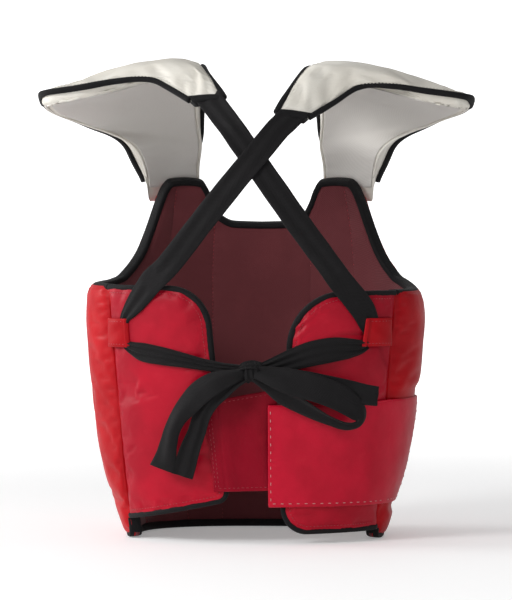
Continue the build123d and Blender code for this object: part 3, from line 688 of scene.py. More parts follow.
def build_trunk():
    """Padded cover and lining. Returns the outer and inner stitch rows."""
    column = np.arange(7 * PANEL_STEPS + 1)[:, None]
    panel = np.minimum(column // PANEL_STEPS, 6)
    across = 0.5 - 0.5 * cos(pi * (column - panel * PANEL_STEPS) / PANEL_STEPS)
    up = linspace(0, 1, 121)
    up = 0.55 * (0.5 - 0.5 * cos(pi * up ** 0.9)) + 0.45 * up
    # lower edge, rounded at its two free ends
    end = seam_degrees(5.0, 0.5)
    per_radian = size(section(front(end) - 0.02, 5.0) - section(front(end), 5.0)) / 0.02
    reach = per_radian * math.radians(end - CHANNELS[-1])
    to_end = np.where(panel == 0, across, np.where(panel == 6, 1 - across, np.inf))
    to_end = np.minimum(TRUNK_CORNER, reach * to_end)
    low = TRUNK_LOW + TRUNK_CORNER - np.sqrt(TRUNK_CORNER ** 2 - (TRUNK_CORNER - to_end) ** 2)
    # seam and top edge depend on each other, so settle them in a few rounds
    z = np.full((len(column), len(up)), 120.0)
    for _ in range(3):
        seam = seam_degrees(z, 0.5)
        start = np.where(panel == 0, -seam, np.array([0, *CHANNELS])[panel])
        end = np.where(panel == 6, seam, np.array([*CHANNELS, 0])[panel])
        degrees = start + (end - start) * across
        z = low + (trunk_top(degrees) + TRUNK_OVER - low) * up
    angle = front(degrees)
    base = section(angle, z)
    arc = steps(base)
    panel_width = np.zeros_like(z)
    for k in range(7):
        rows = panel[:, 0] == k
        panel_width[rows] = arc[rows].sum(0) * (PANEL_STEPS / rows.sum())
    to_seam = np.minimum(across, 1 - across) * panel_width
    to_low = z - TRUNK_LOW
    to_edge = np.minimum(np.minimum(trunk_top(degrees) + TRUNK_OVER - z, to_low), 60)
    soft = wobble(base, 60, 3) * 0.55 + wobble(base, 27, 5) * 0.25
    seam_pucker = (0.38 * wave(z, 10.5, 1.7 * wobble(base, 45, 8)) * fade(to_seam, 6.0)
                   * (1 - fade(to_seam, 1.2)))
    edge_pucker = (0.35 * wave(degrees * 2.2, 11.0, 1.5 * wobble(base, 40, 9))
                   * fade(to_edge, 7.0))
    outside = (-3.4 + 4.2 * (1 - fade(to_seam, 6.5)) + 1.1 * sin(pi * across)
               - 3.6 * fade(to_edge, 7.5) - 1.7 * fade(to_low, 6.0)
               + soft + seam_pucker + edge_pucker)
    inside = (-13.2 - 1.2 * (1 - fade(to_seam, 9.0)) + 3.4 * fade(to_edge, 9.0)
              + 0.7 * wobble(base, 48, 12)
              + 0.3 * wave(z, 12, wobble(base, 40, 2)) * fade(to_seam, 7))
    outer = section(angle, z, outside)
    middle = section(angle, z, -7.0)
    under_belt = ease((-78.0 - degrees) / 5.0) * ease((z - 20.0) / 10.0) * ease((152.0 - z) / 10.0)
    pinned = 1 - ease((np.minimum(to_seam, to_edge) - 1.5) / 3.0)
    puffed = puff(outer, middle, pinned, pressure=4.0, travel=3.0, growth=0.018)
    outer = hold(puffed, outer, outside, normal(angle, z), ceiling=5.0 - 4.2 * under_belt)
    uv = pair(np.cumsum(arc, 0), z)
    sides = [f"foam_{part}_{name}" for part in ("inner", "outer", "side")
             for name in ("left", "right")]
    place(shell("trunk_cover", outer, middle, LIT_SIDE_RED, uv, rim=1), "red_vinyl", "trunk",
          "front_cover", "foam_centre", *sides)
    lining = shell("trunk_lining", section(angle, z, -7.3), section(angle, z, inside), LINING,
                   uv, rim=1)
    place(lining, "lining", "trunk", "front_lining")

    rows_out, rows_in = [], []
    for channel in CHANNELS:
        z = linspace(8, float(top_line(channel)) - 5, 90)
        angle = front(channel)
        for distance in (-1.0, 1.0):
            beside = arc_shift(angle, z, distance)
            rows_out.append((section(beside, z, -2.9), normal(beside, z)))
        rows_in.append((section(angle, z, -12.9), -normal(angle, z)))
    return rows_out, rows_in


def trunk_tape(name, replaced, degrees, z, offset, up, width, thickness):
    """Binding on a trunk edge; up is 1 on the top edge and -1 on the hem."""
    angle = front(degrees)
    normals = normal(angle, z)
    out = unit(cross(normals, tangents(section(angle, z))))
    out = out * (up * np.sign(out[len(out) // 2, 2]))
    place(sweep(name, section(angle, z, offset), out, normals, width, thickness, BINDING,
                corners=16, power=3.4), "black_binding", "trunk", replaced)


def build_top_binding():
    # degrees from, to, and number of points
    runs = [(-120, -66, 40), (-65, -36, 60), (-35.5, -24, 16), (-23.5, -8, 40), (-7, 0, 8)]
    degrees = np.concatenate([linspace(*run) for run in runs])
    degrees = np.concatenate([degrees, -degrees[-2::-1]])
    z = trunk_top(degrees)
    limit = seam_degrees(z, 0.6)
    degrees = np.clip(degrees, -limit, limit)
    keep = np.concatenate([[True], np.abs(np.diff(degrees)) > 1e-6])
    trunk_tape("trunk_top_binding", "front_top_binding", degrees[keep], z[keep] + 2.6, -8.3, 1,
               width=6.2, thickness=11.8)


def hem_end(side, top):
    """Degrees and heights down one free end of the trunk and round its corner to the hem."""
    z = linspace(top, 8.3, 10)
    turn = np.arange(1, 9) / 8 * pi / 2
    corner = seam_degrees(4.2 + 4.0 * (1 - sin(turn)), 3.2 + 4.0 * (1 - cos(turn)))
    degrees = np.concatenate([seam_degrees(z, 3.2), corner])
    return pair(side * degrees, np.concatenate([z, 4.2 + 4.1 * (1 - sin(turn))]))


def build_hem_binding():
    """Tape along the hem, turned up at both free ends below the wings."""
    limit = seam_degrees(4.2, 7.6)
    hem = pair(linspace(-limit, limit, 140)[1:-1], 4.2)
    degrees, z = np.concatenate([hem_end(-1, 11.5), hem, hem_end(1, 21.0)[::-1]]).T
    turned = ease((np.abs(degrees) - (limit - 6)) / 6)
    trunk_tape("trunk_hem_binding", "front_hem_binding", degrees, z, -7.9, -1,
               width=7.6 - 1.8 * turned, thickness=13.8 - 1.4 * turned)


# ------------------------------------------------------------------ back wings
# x, z, corner radius: seam top, inner top, inner bottom, seam bottom. The right is mirrored
WING = {1: [(139.0, 243, 0), (41, 243, 42), (20, 39.5, 12), (120.2, 20, 0)],
        -1: [(138.8, 238, 0), (38, 238, 55), (28.5, 8.5, 25), (119.6, 10, 0)]}
# fan of pulled folds: its x, z and the slope of its folds; x of the keeper's drag lines
WING_FOLDS = {1: (112, 228, 0.2, 124), -1: (52, 206, -0.9, 116)}
CORNER_POINTS = 17


def outline(side, inset):
    """Wing outline from the seam along the top, down the inner edge and back to the seam."""
    points = np.array(WING[side], float)
    path = [points[0, :2]]
    for i in (1, 2):
        before, corner, after = points[i - 1:i + 2, :2]
        radius = points[i, 2]
        back, ahead = unit(before - corner), unit(after - corner)
        half = math.acos(float(back @ ahead)) / 2
        cut = radius / math.tan(half)
        center = corner + unit(back + ahead) * (radius / math.sin(half))
        start, end = (math.atan2(*(corner + way * cut - center)[::-1]) for way in (back, ahead))
        turn = (end - start + pi) % (2 * pi) - pi
        angles = start + turn * np.arange(CORNER_POINTS) / (CORNER_POINTS - 1)
        path += list(center + radius * pair(cos(angles), sin(angles)))
    path = np.array([*path, points[3, :2]])
    tangent = tangents(path)
    return path + pair(-tangent[:, 1], tangent[:, 0]) * inset


def line_distance(points, line):
    """Distance of every 2-D point to a polyline."""
    nearest = np.full(points.shape[:-1], 1e9)
    for start, end in zip(line[:-1], line[1:]):
        way = end - start
        t = np.clip(((points - start) @ way) / max(way @ way, 1e-9), 0, 1)
        nearest = np.minimum(nearest, size(points - start - t[..., None] * way))
    return nearest


def wing_grid(path, rows=85, columns=121):
    """x, z grid filling the outline: rows from seam to inner edge, columns from the bottom up."""
    first = 1 + CORNER_POINTS // 2      # middles of the two rounded corners
    second = first + CORNER_POINTS
    top = resample(path[:first + 1], rows)
    inner = resample(path[first:second + 1], columns)[::-1]
    low = resample(path[second:], rows)[::-1]
    z = linspace(low[0][1], top[0][1], columns)
    seam = pair(seam_x(z), z)
    top[0], low[0] = seam[-1], seam[0]
    across = linspace(0, 1, rows)[:, None, None]
    up = linspace(0, 1, columns)[None, :, None]
    grid = ((1 - across) * seam[None] + across * inner[None]
            + (1 - up) * low[:, None] + up * top[:, None])
    return grid - ((1 - across) * (1 - up) * low[0] + across * (1 - up) * low[-1]
                   + (1 - across) * up * top[0] + across * up * top[-1])


def wing_angle(x, z, clear):
    return np.maximum(back_angle(x, z), beside_seam(z, clear))


def build_wing(side):
    """Padded cover, lining and binding. Returns the stitch row beside the binding."""
    wing = f"{SIDE[side]}_wing"
    mirror = mirror_for(side)
    fan_x, fan_z, fan_slope, keeper_x = WING_FOLDS[side]
    path = outline(side, 1.2)
    grid = wing_grid(path)
    x, z = grid[..., 0], grid[..., 1]
    angle = wing_angle(x, z, 0.6)
    base = section(angle, z)
    real = base * mirror
    normals = normal(angle, z) * mirror
    to_edge = line_distance(grid, path)
    to_seam = size(base - section(seam_angle(z), z))
    inward = np.minimum(to_edge, to_seam * 1.3)
    soft = 0.9 * wobble(real, 75, 21 + side) + 0.35 * wobble(real, 30, 25 + side)
    around = np.arctan2(z - 130, x - 85) * 60
    pucker = (0.5 * wave(around, 12.5, 1.6 * wobble(real, 50, 31)) * fade(to_edge, 9.0)
              * (1 - fade(to_edge, 2.0)))
    fan = peak(x - fan_x, 20.0) * peak(z - fan_z, 13.0)
    pucker = pucker + 0.8 * fan * wave(x * 0.75 + z * fan_slope, 9.5, wobble(real, 40, 33))
    # shallow drag lines running from the strap keeper
    away = np.hypot(x - keeper_x, z - 198)
    bearing = np.arctan2(z - 198, x - keeper_x)
    drag = 0.55 * sin(bearing * 9 + 1.2) * peak(away - 34, 22.0) * (1 - fade(inward, 9))
    outside = (-3.4 + 3.6 * (1 - fade(inward, 7.0)) + 0.5 * (1 - fade(inward, 30.0))
               + np.clip(soft, -1.4, 0.9) * (1 - fade(inward, 10)) + pucker
               - 1.6 * fade(to_seam, 3.0) + drag)
    outside = np.minimum(outside, 1.0)
    inside = (-8.6 - 0.9 * (1 - fade(inward, 9.0)) + 1.9 * fade(inward, 6.0)
              + 0.45 * wobble(real, 50, 41))
    uv = pair(np.cumsum(steps(base), 0), z)
    outer = section(angle, z, outside) * mirror
    middle = section(angle, z, -5.2) * mirror
    puffed = puff(outer, middle, 1 - ease((inward - 2.0) / 4.0), pressure=3.0, travel=1.8,
                  growth=0.015)
    outer = hold(puffed, outer, outside, normals, ceiling=1.1)
    place(shell(f"{wing}_cover_padded", outer, middle, RED, uv, rim=1), "red_vinyl", wing,
          f"{wing}_cover", f"{wing}_foam")
    place(shell(f"{wing}_lining_soft", section(angle, z, -5.5) * mirror,
                section(angle, z, inside) * mirror, LINING, uv, rim=1), "lining", wing,
          f"{wing}_lining")

    tape_x, tape_z = resample(outline(side, 2.7), 260).T
    tape_angle = wing_angle(tape_x, tape_z, 0.7)
    tape_normals = normal(tape_angle, tape_z)
    edge = section(tape_angle, tape_z)
    out = unit(cross(tape_normals, tangents(edge)))
    outward = np.sign(((edge - back_point(85.0, 130.0)) * out).sum(1)).mean() > 0
    out = out * (1 if outward else -1)
    center = section(tape_angle, tape_z, -5.4)
    tape = sweep(f"{wing}_binding_tape", center * mirror, out * mirror, tape_normals * mirror,
                 5.6 + 0.25 * wobble(center, 60, 51), 8.2, BINDING, corners=16, power=3.2)
    place(tape, "black_binding", wing, f"{wing}_binding")

    # the stitches lie on the puffed cover
    line = resample(outline(side, 7.6), 260, trim=4)
    heights = ((outer - real) * normals).sum(-1).reshape(-1)
    flat_grid = grid.reshape(-1, 2)
    near = [int(np.argmin(((flat_grid - point) ** 2).sum(1))) for point in line]
    lift = smooth(heights[near], np.ones(7), mode="edge") + 0.08
    return (back_point(*line.T, lift) * mirror, back_normal(*line.T) * mirror)


def build_folds(side):
    """Fold strip over a side seam, in short lengths."""
    name = SIDE[side]
    mirror = mirror_for(side)
    z = linspace(22.0, 239.0, 97) if side > 0 else linspace(12.0, 234.5, 97)
    across = linspace(-6.5, 6.5, 17)
    height = np.broadcast_to(z[:, None], (97, 17))
    angle = beside_seam(height, across)
    dip = -4.2 + 0.9 * (np.abs(across) / 6.5) ** 1.5
    ripple = 0.25 * wobble(np.stack([height, height * 0, height * 0], -1), 30, 43)
    outer = section(angle, height, dip + ripple) * mirror
    inner = section(angle, height, -8.2) * mirror
    uv = pair(across, height)
    for k in range(8):
        first, last = 12 * k, 12 * k + 12
        part = slice(first, last + 1)
        flat = ([0] if k else []) + ([-1] if k < 7 else [])
        strip = shell(f"{name}_side_fold_{k}", outer[part], inner[part], LIT_SIDE_RED, uv[part],
                      rim=1, flat=flat)
        place(strip, "red_vinyl")
        start, end = (section(seam_angle(at), at) for at in (z[first], z[last]))
        aside = section(beside_seam(z[first], 6.0), z[first]) - start
        way = unit(end - start)
        aside = unit(aside - way * (aside @ way))
        middle = (start + end) / 2
        blend(strip, (middle - aside * 5.5) * mirror,
              (middle + aside * 5.5) * mirror)


# ------------------------------------------------------------------ straps crossing on the back
# upper: x, y, z, from the shoulder pad down. lower: x, z, height off the back, width
STRAPS = {
    "left": dict(
        wing="right_wing",
        upper=[(42.5, 62.0, 421.5), (39.5, 69.5, 417.5), (33.5, 77.5, 410.5),
               (26.5, 87.5, 402.0), (16.5, 98.0, 389.5), (7.3, 103.0, 376.5),
               (-2.0, 106.6, 363.5), (-25.1, 111.1, 331.0), (-48.5, 112.0, 298.0),
               (-74.3, 109.3, 263.0)],
        lower=[(-84.0, 247.0, 2.9, 23.5), (-96.0, 232.0, 2.5, 24), (-104.0, 221.0, 2.2, 24),
               (-108.5, 212.0, 1.9, 22.5), (-111.5, 203.0, 1.8, 19.5),
               (-111.5, 194.0, 1.8, 14), (-109.5, 187.0, 2.0, 9)]),
    "right": dict(
        wing="left_wing",
        upper=[(-42.5, 70.0, 408.5), (-38.0, 79.0, 402.0), (-32.5, 87.5, 396.0),
               (-26.1, 94.5, 389.8), (-16.0, 102.5, 377.3), (-5.3, 107.8, 364.0),
               (8.4, 112.4, 347.6), (22.0, 114.9, 331.0), (48.3, 114.3, 298.0),
               (76.0, 109.3, 263.0)],
        lower=[(90.5, 247.0, 2.8, 23.5), (102.5, 232.0, 2.3, 21.5), (111.0, 221.0, 2.1, 17),
               (117.0, 212.5, 1.9, 11.5), (119.0, 203.0, 1.7, 9), (118.5, 194.0, 1.7, 8.5),
               (116.5, 187.0, 2.0, 8)]),
}


def laid_on_back(rows):
    """Rows of x, z, height off the back, width, as x, y, z, width."""
    return [(*back_point(x, z, lift), width) for x, z, lift, width in rows]


def path_normals(path):
    return back_normal(np.clip(path[:, 0], -150, 150), path[:, 2])


def build_strap(name, upper, lower, wing):
    keys = [(*point, 23.0, 0.0) for point in upper]
    keys += [(*row, 1.0) for row in laid_on_back(lower)]
    rows = spline(keys, 171)
    path, width, on_back = rows[:, :3], rows[:, 3], rows[:, 4:]
    normals = unit((1 - on_back) * np.array([0, 1, 0.30]) + on_back * path_normals(path))
    width = width + 0.25 * wobble(path, 30, 61)
    path = path + normals * (0.5 * wobble(path, 55, 62)[:, None] * (1 - on_back))
    x, z = path[:, 0], path[:, 2]
    cut = int(np.argmin(np.abs(x + 1.3) + (z < 300) * 999 + (z > 400) * 999))
    grids = ribbon_grid(path, normals, width, 1.7, columns=15, fold=0.9, waves=2.0,
                        full_width=23.5, fold_limit=0.75)
    pieces = []
    for part, span, flat in (("upper", slice(None, cut + 1), -1), ("lower", slice(cut, None), 0)):
        outer, inner, uv = (grid[span] for grid in grids)
        piece = shell(f"{name}_strap_{part}_web", outer, inner, WEBBING, uv, rim=1, bulge=0.3,
                      flat=(flat,))
        place(piece, "black_webbing", None, f"{name}_strap_{part}")
        pieces.append(piece)
    blend(pieces[0], path[9], path[cut - 2])
    start = int(np.argmin(np.abs(z - 318) + (np.arange(len(z)) < cut) * 999))
    end = int(np.argmin(np.abs(z - 244)))
    blend(pieces[1], path[start], path[end])


# ------------------------------------------------------------------ keepers
# x of the inner edge at the bottom and top, outer x, bottom and top z, least lifts at the inner edge
KEEPERS = {1: (112.6, 114.6, 134.8, 184.6, 211.0, [2.6, 3.2, 3.7, 4.1, 4.4, 4.6]),
           -1: (102.6, 106.6, 131.4, 186.2, 212.0, [4.6, 4.7, 4.8, 4.8, 4.8, 4.8])}


def build_keeper(side):
    """Vinyl loop standing over the strap. Returns its stitch rows."""
    name = SIDE[side]
    mirror = mirror_for(side)
    inner_low, inner_top, outer_x, low, top, least = KEEPERS[side]
    across = linspace(0, 1, 46)[:, None]
    lift = 1.0 + 4.0 * sin(pi * across) ** 0.55
    lift[:6, 0] = np.maximum(lift[:6, 0], least)
    z = linspace(low, top, 22)[None]
    inner_x = inner_low + (inner_top - inner_low) * (z - low) / (top - low)
    x = inner_x + (outer_x - inner_x) * across
    z = np.broadcast_to(z, x.shape)
    arch = sin(pi * across)
    from_middle = np.abs((z - (low + top) / 2) / ((top - low) / 2))
    lift = (lift + 0.35 * sin(2 * pi * (z - low) / 17 + x * 0.25) * arch
            - 0.7 * from_middle ** 6 * arch)
    outer = back_point(x, z, lift) * mirror
    inner = back_point(x, z, lift - 1.4) * mirror
    place(shell(f"{name}_keeper_loop", outer, inner, LIT_SIDE_RED, pair(x, z), bulge=0.5),
          "red_vinyl", f"{name}_wing", f"{name}_keeper")
    return pick_rows(outer, back_normal(x, z) * mirror, np.s_[3:-2, 2], np.s_[3:-2, -3])


# ------------------------------------------------------------------ waist ties, keepers to knot
# name, wing; x, z, height off the back, width; then x, y, z, width at the knot
TIES = [
    ("right", "left_wing",
     [(116.5, 186.5, 1.9, 8.0), (110.0, 183.6, 2.8, 12.0), (99.0, 180.3, 3.6, 17.0),
      (80.0, 177.0, 4.2, 16.5), (60.0, 173.3, 4.4, 13.5), (42.0, 169.6, 4.6, 11.0),
      (26.0, 166.8, 5.8, 10.0)],
     [(13.0, 116.8, 165.4, 9.5), (5.0, 118.2, 164.8, 9.0)]),
    ("left", "right_wing",
     [(-109.0, 187.0, 1.9, 9.0), (-102.0, 185.0, 3.0, 14.0), (-91.0, 184.2, 4.0, 19.0),
      (-76.0, 183.4, 4.6, 22.5), (-57.0, 180.0, 5.0, 23.0), (-40.0, 174.8, 5.0, 20.0),
      (-26.0, 170.4, 6.2, 15.5)],
     [(-14.5, 116.8, 166.8, 11.5), (-6.0, 118.2, 165.4, 10.0)]),
]


def build_tie(name, wing, on_back, at_knot):
    rows = spline(laid_on_back(on_back) + at_knot, 90)
    path = rows[:, :3]
    tilt = 0.18 * wobble(path, 70, 71)[:, None] * np.array([0, 0, 1])
    ribbon(f"{name}_tie_web", wing, [f"{name}_tie"], path, unit(path_normals(path) + tilt),
           rows[:, 3], 1.6, columns=21, fold=0.7, waves=3.0, phase=0.9, fold_limit=1.0)


# ------------------------------------------------------------------ bow
# rows: x, y, z, normal x, y, z, width
BOW = [
    # two strands hanging over the left wing
    dict(name="bow_left_outer", body="bow_left", replaced=["bow_loop_left"], seed=81,
         waves=1.0, fold=0.35, cup=-1.3, rows=[
             (5, 121.6, 161, 0.1, 1, 0.3, 10), (14, 124.4, 159.8, 0.1, 1, 0.4, 14),
             (30, 125.6, 154.5, 0.15, 1, 0.35, 21), (45, 124.0, 145.5, 0.2, 1, 0.3, 23.5),
             (57.5, 120.8, 132.5, 0.3, 1, 0.2, 21.5), (67.5, 117.8, 120, 0.42, 1, 0.1, 17.5),
             (73.5, 115.2, 107, 0.45, 1, 0.0, 16.5), (77, 113.8, 94, 0.42, 1, -0.05, 18),
             (79, 112.6, 83, 0.36, 1, -0.1, 21), (82.5, 111.2, 71.5, 0.3, 1, -0.12, 24.5)]),
    dict(name="bow_left_inner", body="bow_left", replaced=["bow_tail_left"], seed=83,
         waves=1.6, fold=0.5, cup=1.1, rows=[
             (4, 120.0, 158, -0.1, 1, 0.3, 10), (14, 122.2, 154, -0.1, 1, 0.3, 15),
             (25, 122.4, 146.5, -0.05, 1, 0.25, 18.5), (35.5, 120.6, 136.5, 0.0, 1, 0.2, 18),
             (43.5, 117.6, 123.5, 0.0, 1, 0.15, 16.5), (49.2, 115.6, 106, 0.0, 1, 0.1, 16.5),
             (55.5, 113.2, 90, 0.05, 1, 0.0, 18.5), (60.0, 112.2, 75, 0.1, 1, -0.1, 20),
             (63, 111.4, 65, 0.15, 1, -0.15, 20.5)]),
    # on the right a loop turning back on itself, and a short tail behind it
    dict(name="bow_right_loop", body="bow_right", replaced=["bow_loop_right", "bow_tail_right"],
         seed=85, waves=1.3, fold=0.4, cup=0.9, count=170, rows=[
             (-6, 122.4, 162.5, 0, 1, 0.25, 10), (-17, 126.0, 160.8, 0, 1, 0.35, 16),
             (-33, 128.4, 156.2, 0.0, 1, 0.3, 23), (-50, 128.6, 151.8, -0.1, 1, 0.22, 25),
             (-68, 126.4, 146.2, -0.2, 1, 0.2, 25), (-85, 122.4, 138.8, -0.4, 1, 0.15, 24.5),
             (-97.5, 118.4, 130.0, -0.85, 0.9, 0.05, 23),
             (-104.5, 115.2, 121.5, -1.0, 0.5, -0.35, 19),
             (-101.5, 113.6, 114.2, -0.6, 0.5, -0.9, 15),
             (-90, 114.6, 112.8, -0.1, 0.75, -1.0, 14), (-76, 116.6, 118.0, 0.1, 0.85, -0.95, 15),
             (-60, 119.8, 126.2, 0.15, 0.95, -0.75, 17), (-45, 121.8, 134.6, 0.2, 1, -0.6, 19),
             (-31, 122.8, 142.5, 0.2, 1, -0.45, 18.5), (-18, 122.4, 152.0, 0.2, 1, -0.3, 14),
             (-6, 120.6, 159.5, 0.1, 1, -0.1, 10)]),
    dict(name="bow_right_tail", body="bow_right", seed=87, waves=1.8, fold=0.35, rows=[
        (-10, 120.2, 160.5, 0, 1, 0.1, 11), (-28, 121.8, 158.0, 0, 1, 0.0, 17),
        (-50, 121.6, 154.5, -0.1, 1, 0.0, 20), (-72, 118.4, 150.0, -0.2, 1, 0.0, 20),
        (-92, 114.0, 145.5, -0.3, 1, 0.0, 20), (-108, 110.4, 141.8, -0.35, 1, 0.05, 19),
        (-120, 107.8, 140.0, -0.4, 1, 0.1, 18)]),
    # a gathered fold over the top of the knot
    dict(name="knot_top_fold", body="right_wing", seed=89, waves=2.4, fold=0.8, count=50, rows=[
        (9, 117.6, 164.8, 0.3, 0.6, 0.9, 8), (5.5, 119.8, 168.2, 0.2, 0.7, 1.0, 10),
        (-1.5, 121.2, 169.8, 0, 0.8, 1.0, 11.5), (-7.5, 120.6, 169.0, -0.1, 0.8, 0.9, 11),
        (-11.5, 119.0, 166.2, -0.25, 0.9, 0.7, 9)]),
]
# turns of webbing round the knot; drift is how far each end moves along the axis
WRAPS = [
    dict(name="knot_wrap", center=(-2.5, 117.6, 162.8), axis=(1, 0.05, -0.22), height=8.0,
         depth=5.6, width=14.5, turns=1.06, drift=1.2, seed=91, replaced=["bow_knot"]),
    dict(name="knot_wrap_under", center=(3.5, 116.6, 161.4), axis=(1, -0.1, 0.45), height=6.6,
         depth=4.6, width=10, turns=1.04, drift=0.8, seed=94),
    dict(name="knot_wrap_side", center=(-9.0, 116.8, 164.4), axis=(1, 0.1, -0.6), height=6.4,
         depth=4.6, width=9, turns=1.04, drift=0.8, seed=97),
]


def build_bow(name, body, rows, seed, waves, fold, cup=0.0, count=80, replaced=()):
    rows = spline(rows, count)
    path, normals = rows[:, :3], unit(rows[:, 3:6])
    path = path + normals * (0.45 * wobble(path, 24, seed))[:, None]
    ribbon(name, body, replaced, path, normals, rows[:, 6], 1.7, columns=15, fold=fold,
           waves=waves, phase=0.4, full_width=24.0, cup=cup)


def build_wrap(name, center, axis, height, depth, width, turns, drift, seed, replaced=()):
    angle = linspace(0, 2 * pi * turns, int(54 * turns))[:, None]
    axis = unit(np.array(axis, float))
    up = unit(cross(axis, [0, 1, 0]))
    ahead = unit(cross(up, axis))
    path = (np.array(center) + cos(angle) * up * height * (1 + 0.06 * sin(3 * angle + seed))
            + sin(angle) * ahead * depth + axis * linspace(-drift, drift, len(angle))[:, None])
    normals = unit(cos(angle) * up / height + sin(angle) * ahead / depth)
    ribbon(name, "right_wing", replaced, path, normals,
           width + 1.2 * sin(2 * angle[:, 0] + seed), 2.2, columns=17, fold=0.55, waves=3.0,
           full_width=22)


# ------------------------------------------------------------------ waist band, on the left wing
# evenly spaced rows: x from the wing's edge, share of the way to the free end, depth below it
BAND_ROWS = [(12, 0.0, -2.7), (8, 0.0, -2.8), (4, 0.0, -2.8), (0, 0.0, -2.7), (-3, 0.02, -2.3),
             (-3, 0.14, -1.0), (-3, 0.30, 0.7), (-3, 0.46, 1.7), (-3, 0.64, 2.3),
             (-2, 0.82, 2.4), (0, 1.0, 2.4)]
BAND_LOW, BAND_TOP = 49.5, 133.0      # heights at the wing's inner edge
BAND_END_X = -25.5


def build_band():
    """Returns the band's stitch rows."""
    table = np.array(BAND_ROWS)
    stations = linspace(0, 1, len(table))
    aside, share, depth = sample(table, stations, linspace(0, 1, 100)).T
    depth = smooth(depth, np.ones(13), mode="edge")[:, None]
    aside, share = aside[:, None], share[:, None]
    up = linspace(0, 1, 60)[None]
    (top_x, top_z, _), (low_x, low_z, _) = WING[1][1:3]
    edge_z = BAND_LOW + (BAND_TOP - BAND_LOW) * up
    edge_x = low_x + (top_x - low_x) * (edge_z - low_z) / (top_z - low_z)
    x = (edge_x + aside) * (1 - share) + BAND_END_X * share
    z = (BAND_LOW + (46 - x) * 0.018) * (1 - up) + (BAND_TOP + (46 - x) * 0.183) * up
    flat = np.stack([x, 0 * x, z], -1)
    free = ease((share - 0.04) / 0.2)
    ripple = 0.7 * wobble(flat, 34, 101) + 0.5 * sin(x / 7.0 + 0.5 * wobble(flat, 60, 104))
    depth = depth + free * ripple + (1 - free) * 0.15 * wobble(flat, 20, 103)
    depth = depth + 0.35 * peak(x - (edge_x + 1.0), 1.6)
    outer, inner = back_point(x, z, -depth), back_point(x, z, -depth - 1.5)
    # the band's darker vinyl is painted shade
    place(shell("waist_band_vinyl", outer, inner, BAND_PAINTED_SHADE, pair(x, z), bulge=0.4),
          "red_vinyl", "left_wing", "waist_band")
    return pick_rows(outer, back_normal(x, z), np.s_[10:, 2], np.s_[10:, -3], np.s_[5, 2:-2],
                     np.s_[12, 2:-2])


# ------------------------------------------------------------------ belt, on the right side
# drawn on the left and mirrored
BELT_LOW, BELT_TOP = 35.5, 131.0
BELT_FREE_X, BELT_SEAM_X = 17.3, 118.0
BELT_FRONT = 84.0                      # degrees from the front middle to the anchored end
RIGHT = mirror_for(-1)


def belt_top(x):
    return BELT_TOP + 3.6 * ease((x - 84.0) / 34.0)


def belt_lift(base, z, top):
    return (2.7 + 0.4 * wobble(base, 70, 111) + 0.2 * wobble(base, 26, 112)
            - 0.5 * exp(-np.minimum(z - BELT_LOW, top - z) / 2.2))


def belt_sheet(name, replaced, angle, z, lift):
    """Belt piece, its outer points and its normals."""
    uv = pair(np.cumsum(steps(section(angle, z)), 0), z)
    outer, inner = (section(angle, z, lift + half) * RIGHT for half in (1.2, -1.2))
    piece = shell(name, outer, inner, BELT, uv, rim=3, bulge=0.55, flat=(-1,))
    place(piece, "red_vinyl", None, replaced)
    return piece, outer, normal(angle, z) * RIGHT


def build_belt():
    """Free belt and its anchored part. Returns the stitch rows of both."""
    top, low = back_point(*SEAM_TOP), back_point(*SEAM_LOW)
    seam_middle = (top + low) / 2 * RIGHT
    seam_way = unit(top - low) * RIGHT
    tie_z = 134.5
    aside = section(beside_seam(tie_z, 12.0), tie_z) - section(seam_angle(tie_z), tie_z)
    aside = unit(aside * RIGHT)
    aside = unit(aside - seam_way * (aside @ seam_way))
    up = linspace(0, 1, 64)[None]

    # from the free end to the seam
    x = np.concatenate([linspace(BELT_FREE_X, 24, 12), linspace(25.5, BELT_SEAM_X, 74)])[:, None]
    z = BELT_LOW + (belt_top(x) - BELT_LOW) * up
    to_seam = seam_angle(z) - back_angle(BELT_SEAM_X, z)
    angle = back_angle(x, z) + to_seam * ease((x - 80) / 38)
    lift = belt_lift(section(angle, z), z, belt_top(x))
    from_end = x - BELT_FREE_X
    lift = lift + fade(from_end, 10.0) * (0.5 + 0.5 * sin(z / (BELT_TOP - BELT_LOW) * 7 + 0.8))
    lift = lift - 1.1 * peak(z - 79.0 - 1.2 * sin(x / 4), 1.3) * fade(from_end, 11.0)
    # long soft dents where the belt turns over the wing
    lift = lift + 0.5 * peak(x - 104, 7.0) - 0.4 * peak(x - 92, 5.0)
    piece, outer, normals = belt_sheet("waist_belt_vinyl", "waist_belt", angle, z, lift)
    blend(piece, seam_middle + aside * 10.5, seam_middle + aside * 36)
    belt_rows = pick_rows(outer, normals, np.s_[2:-2, 2], np.s_[3, 2:-2])

    # from the anchored end back to the seam
    along = linspace(0, 1, 46)[:, None]
    top = belt_top(BELT_SEAM_X)
    z = BELT_LOW + (top - BELT_LOW) * up
    degrees = BELT_FRONT + (seam_degrees(z, 0.0) - BELT_FRONT) * along
    angle = front(degrees)
    z = np.broadcast_to(z, angle.shape)
    lift = (belt_lift(section(angle, z), z, top) - 1.2 * exp(-along * 14)
            + 0.5 * peak(BELT_SEAM_X - 104, 7.0))
    piece, outer, normals = belt_sheet("belt_anchor_vinyl", "belt_anchor", angle, z, lift)
    blend(piece, seam_middle - aside * 24, seam_middle + aside * 1.9)
    return belt_rows, pick_rows(outer, normals, np.s_[2:-2, 2], np.s_[2, 2:-2], np.s_[5, 2:-2])


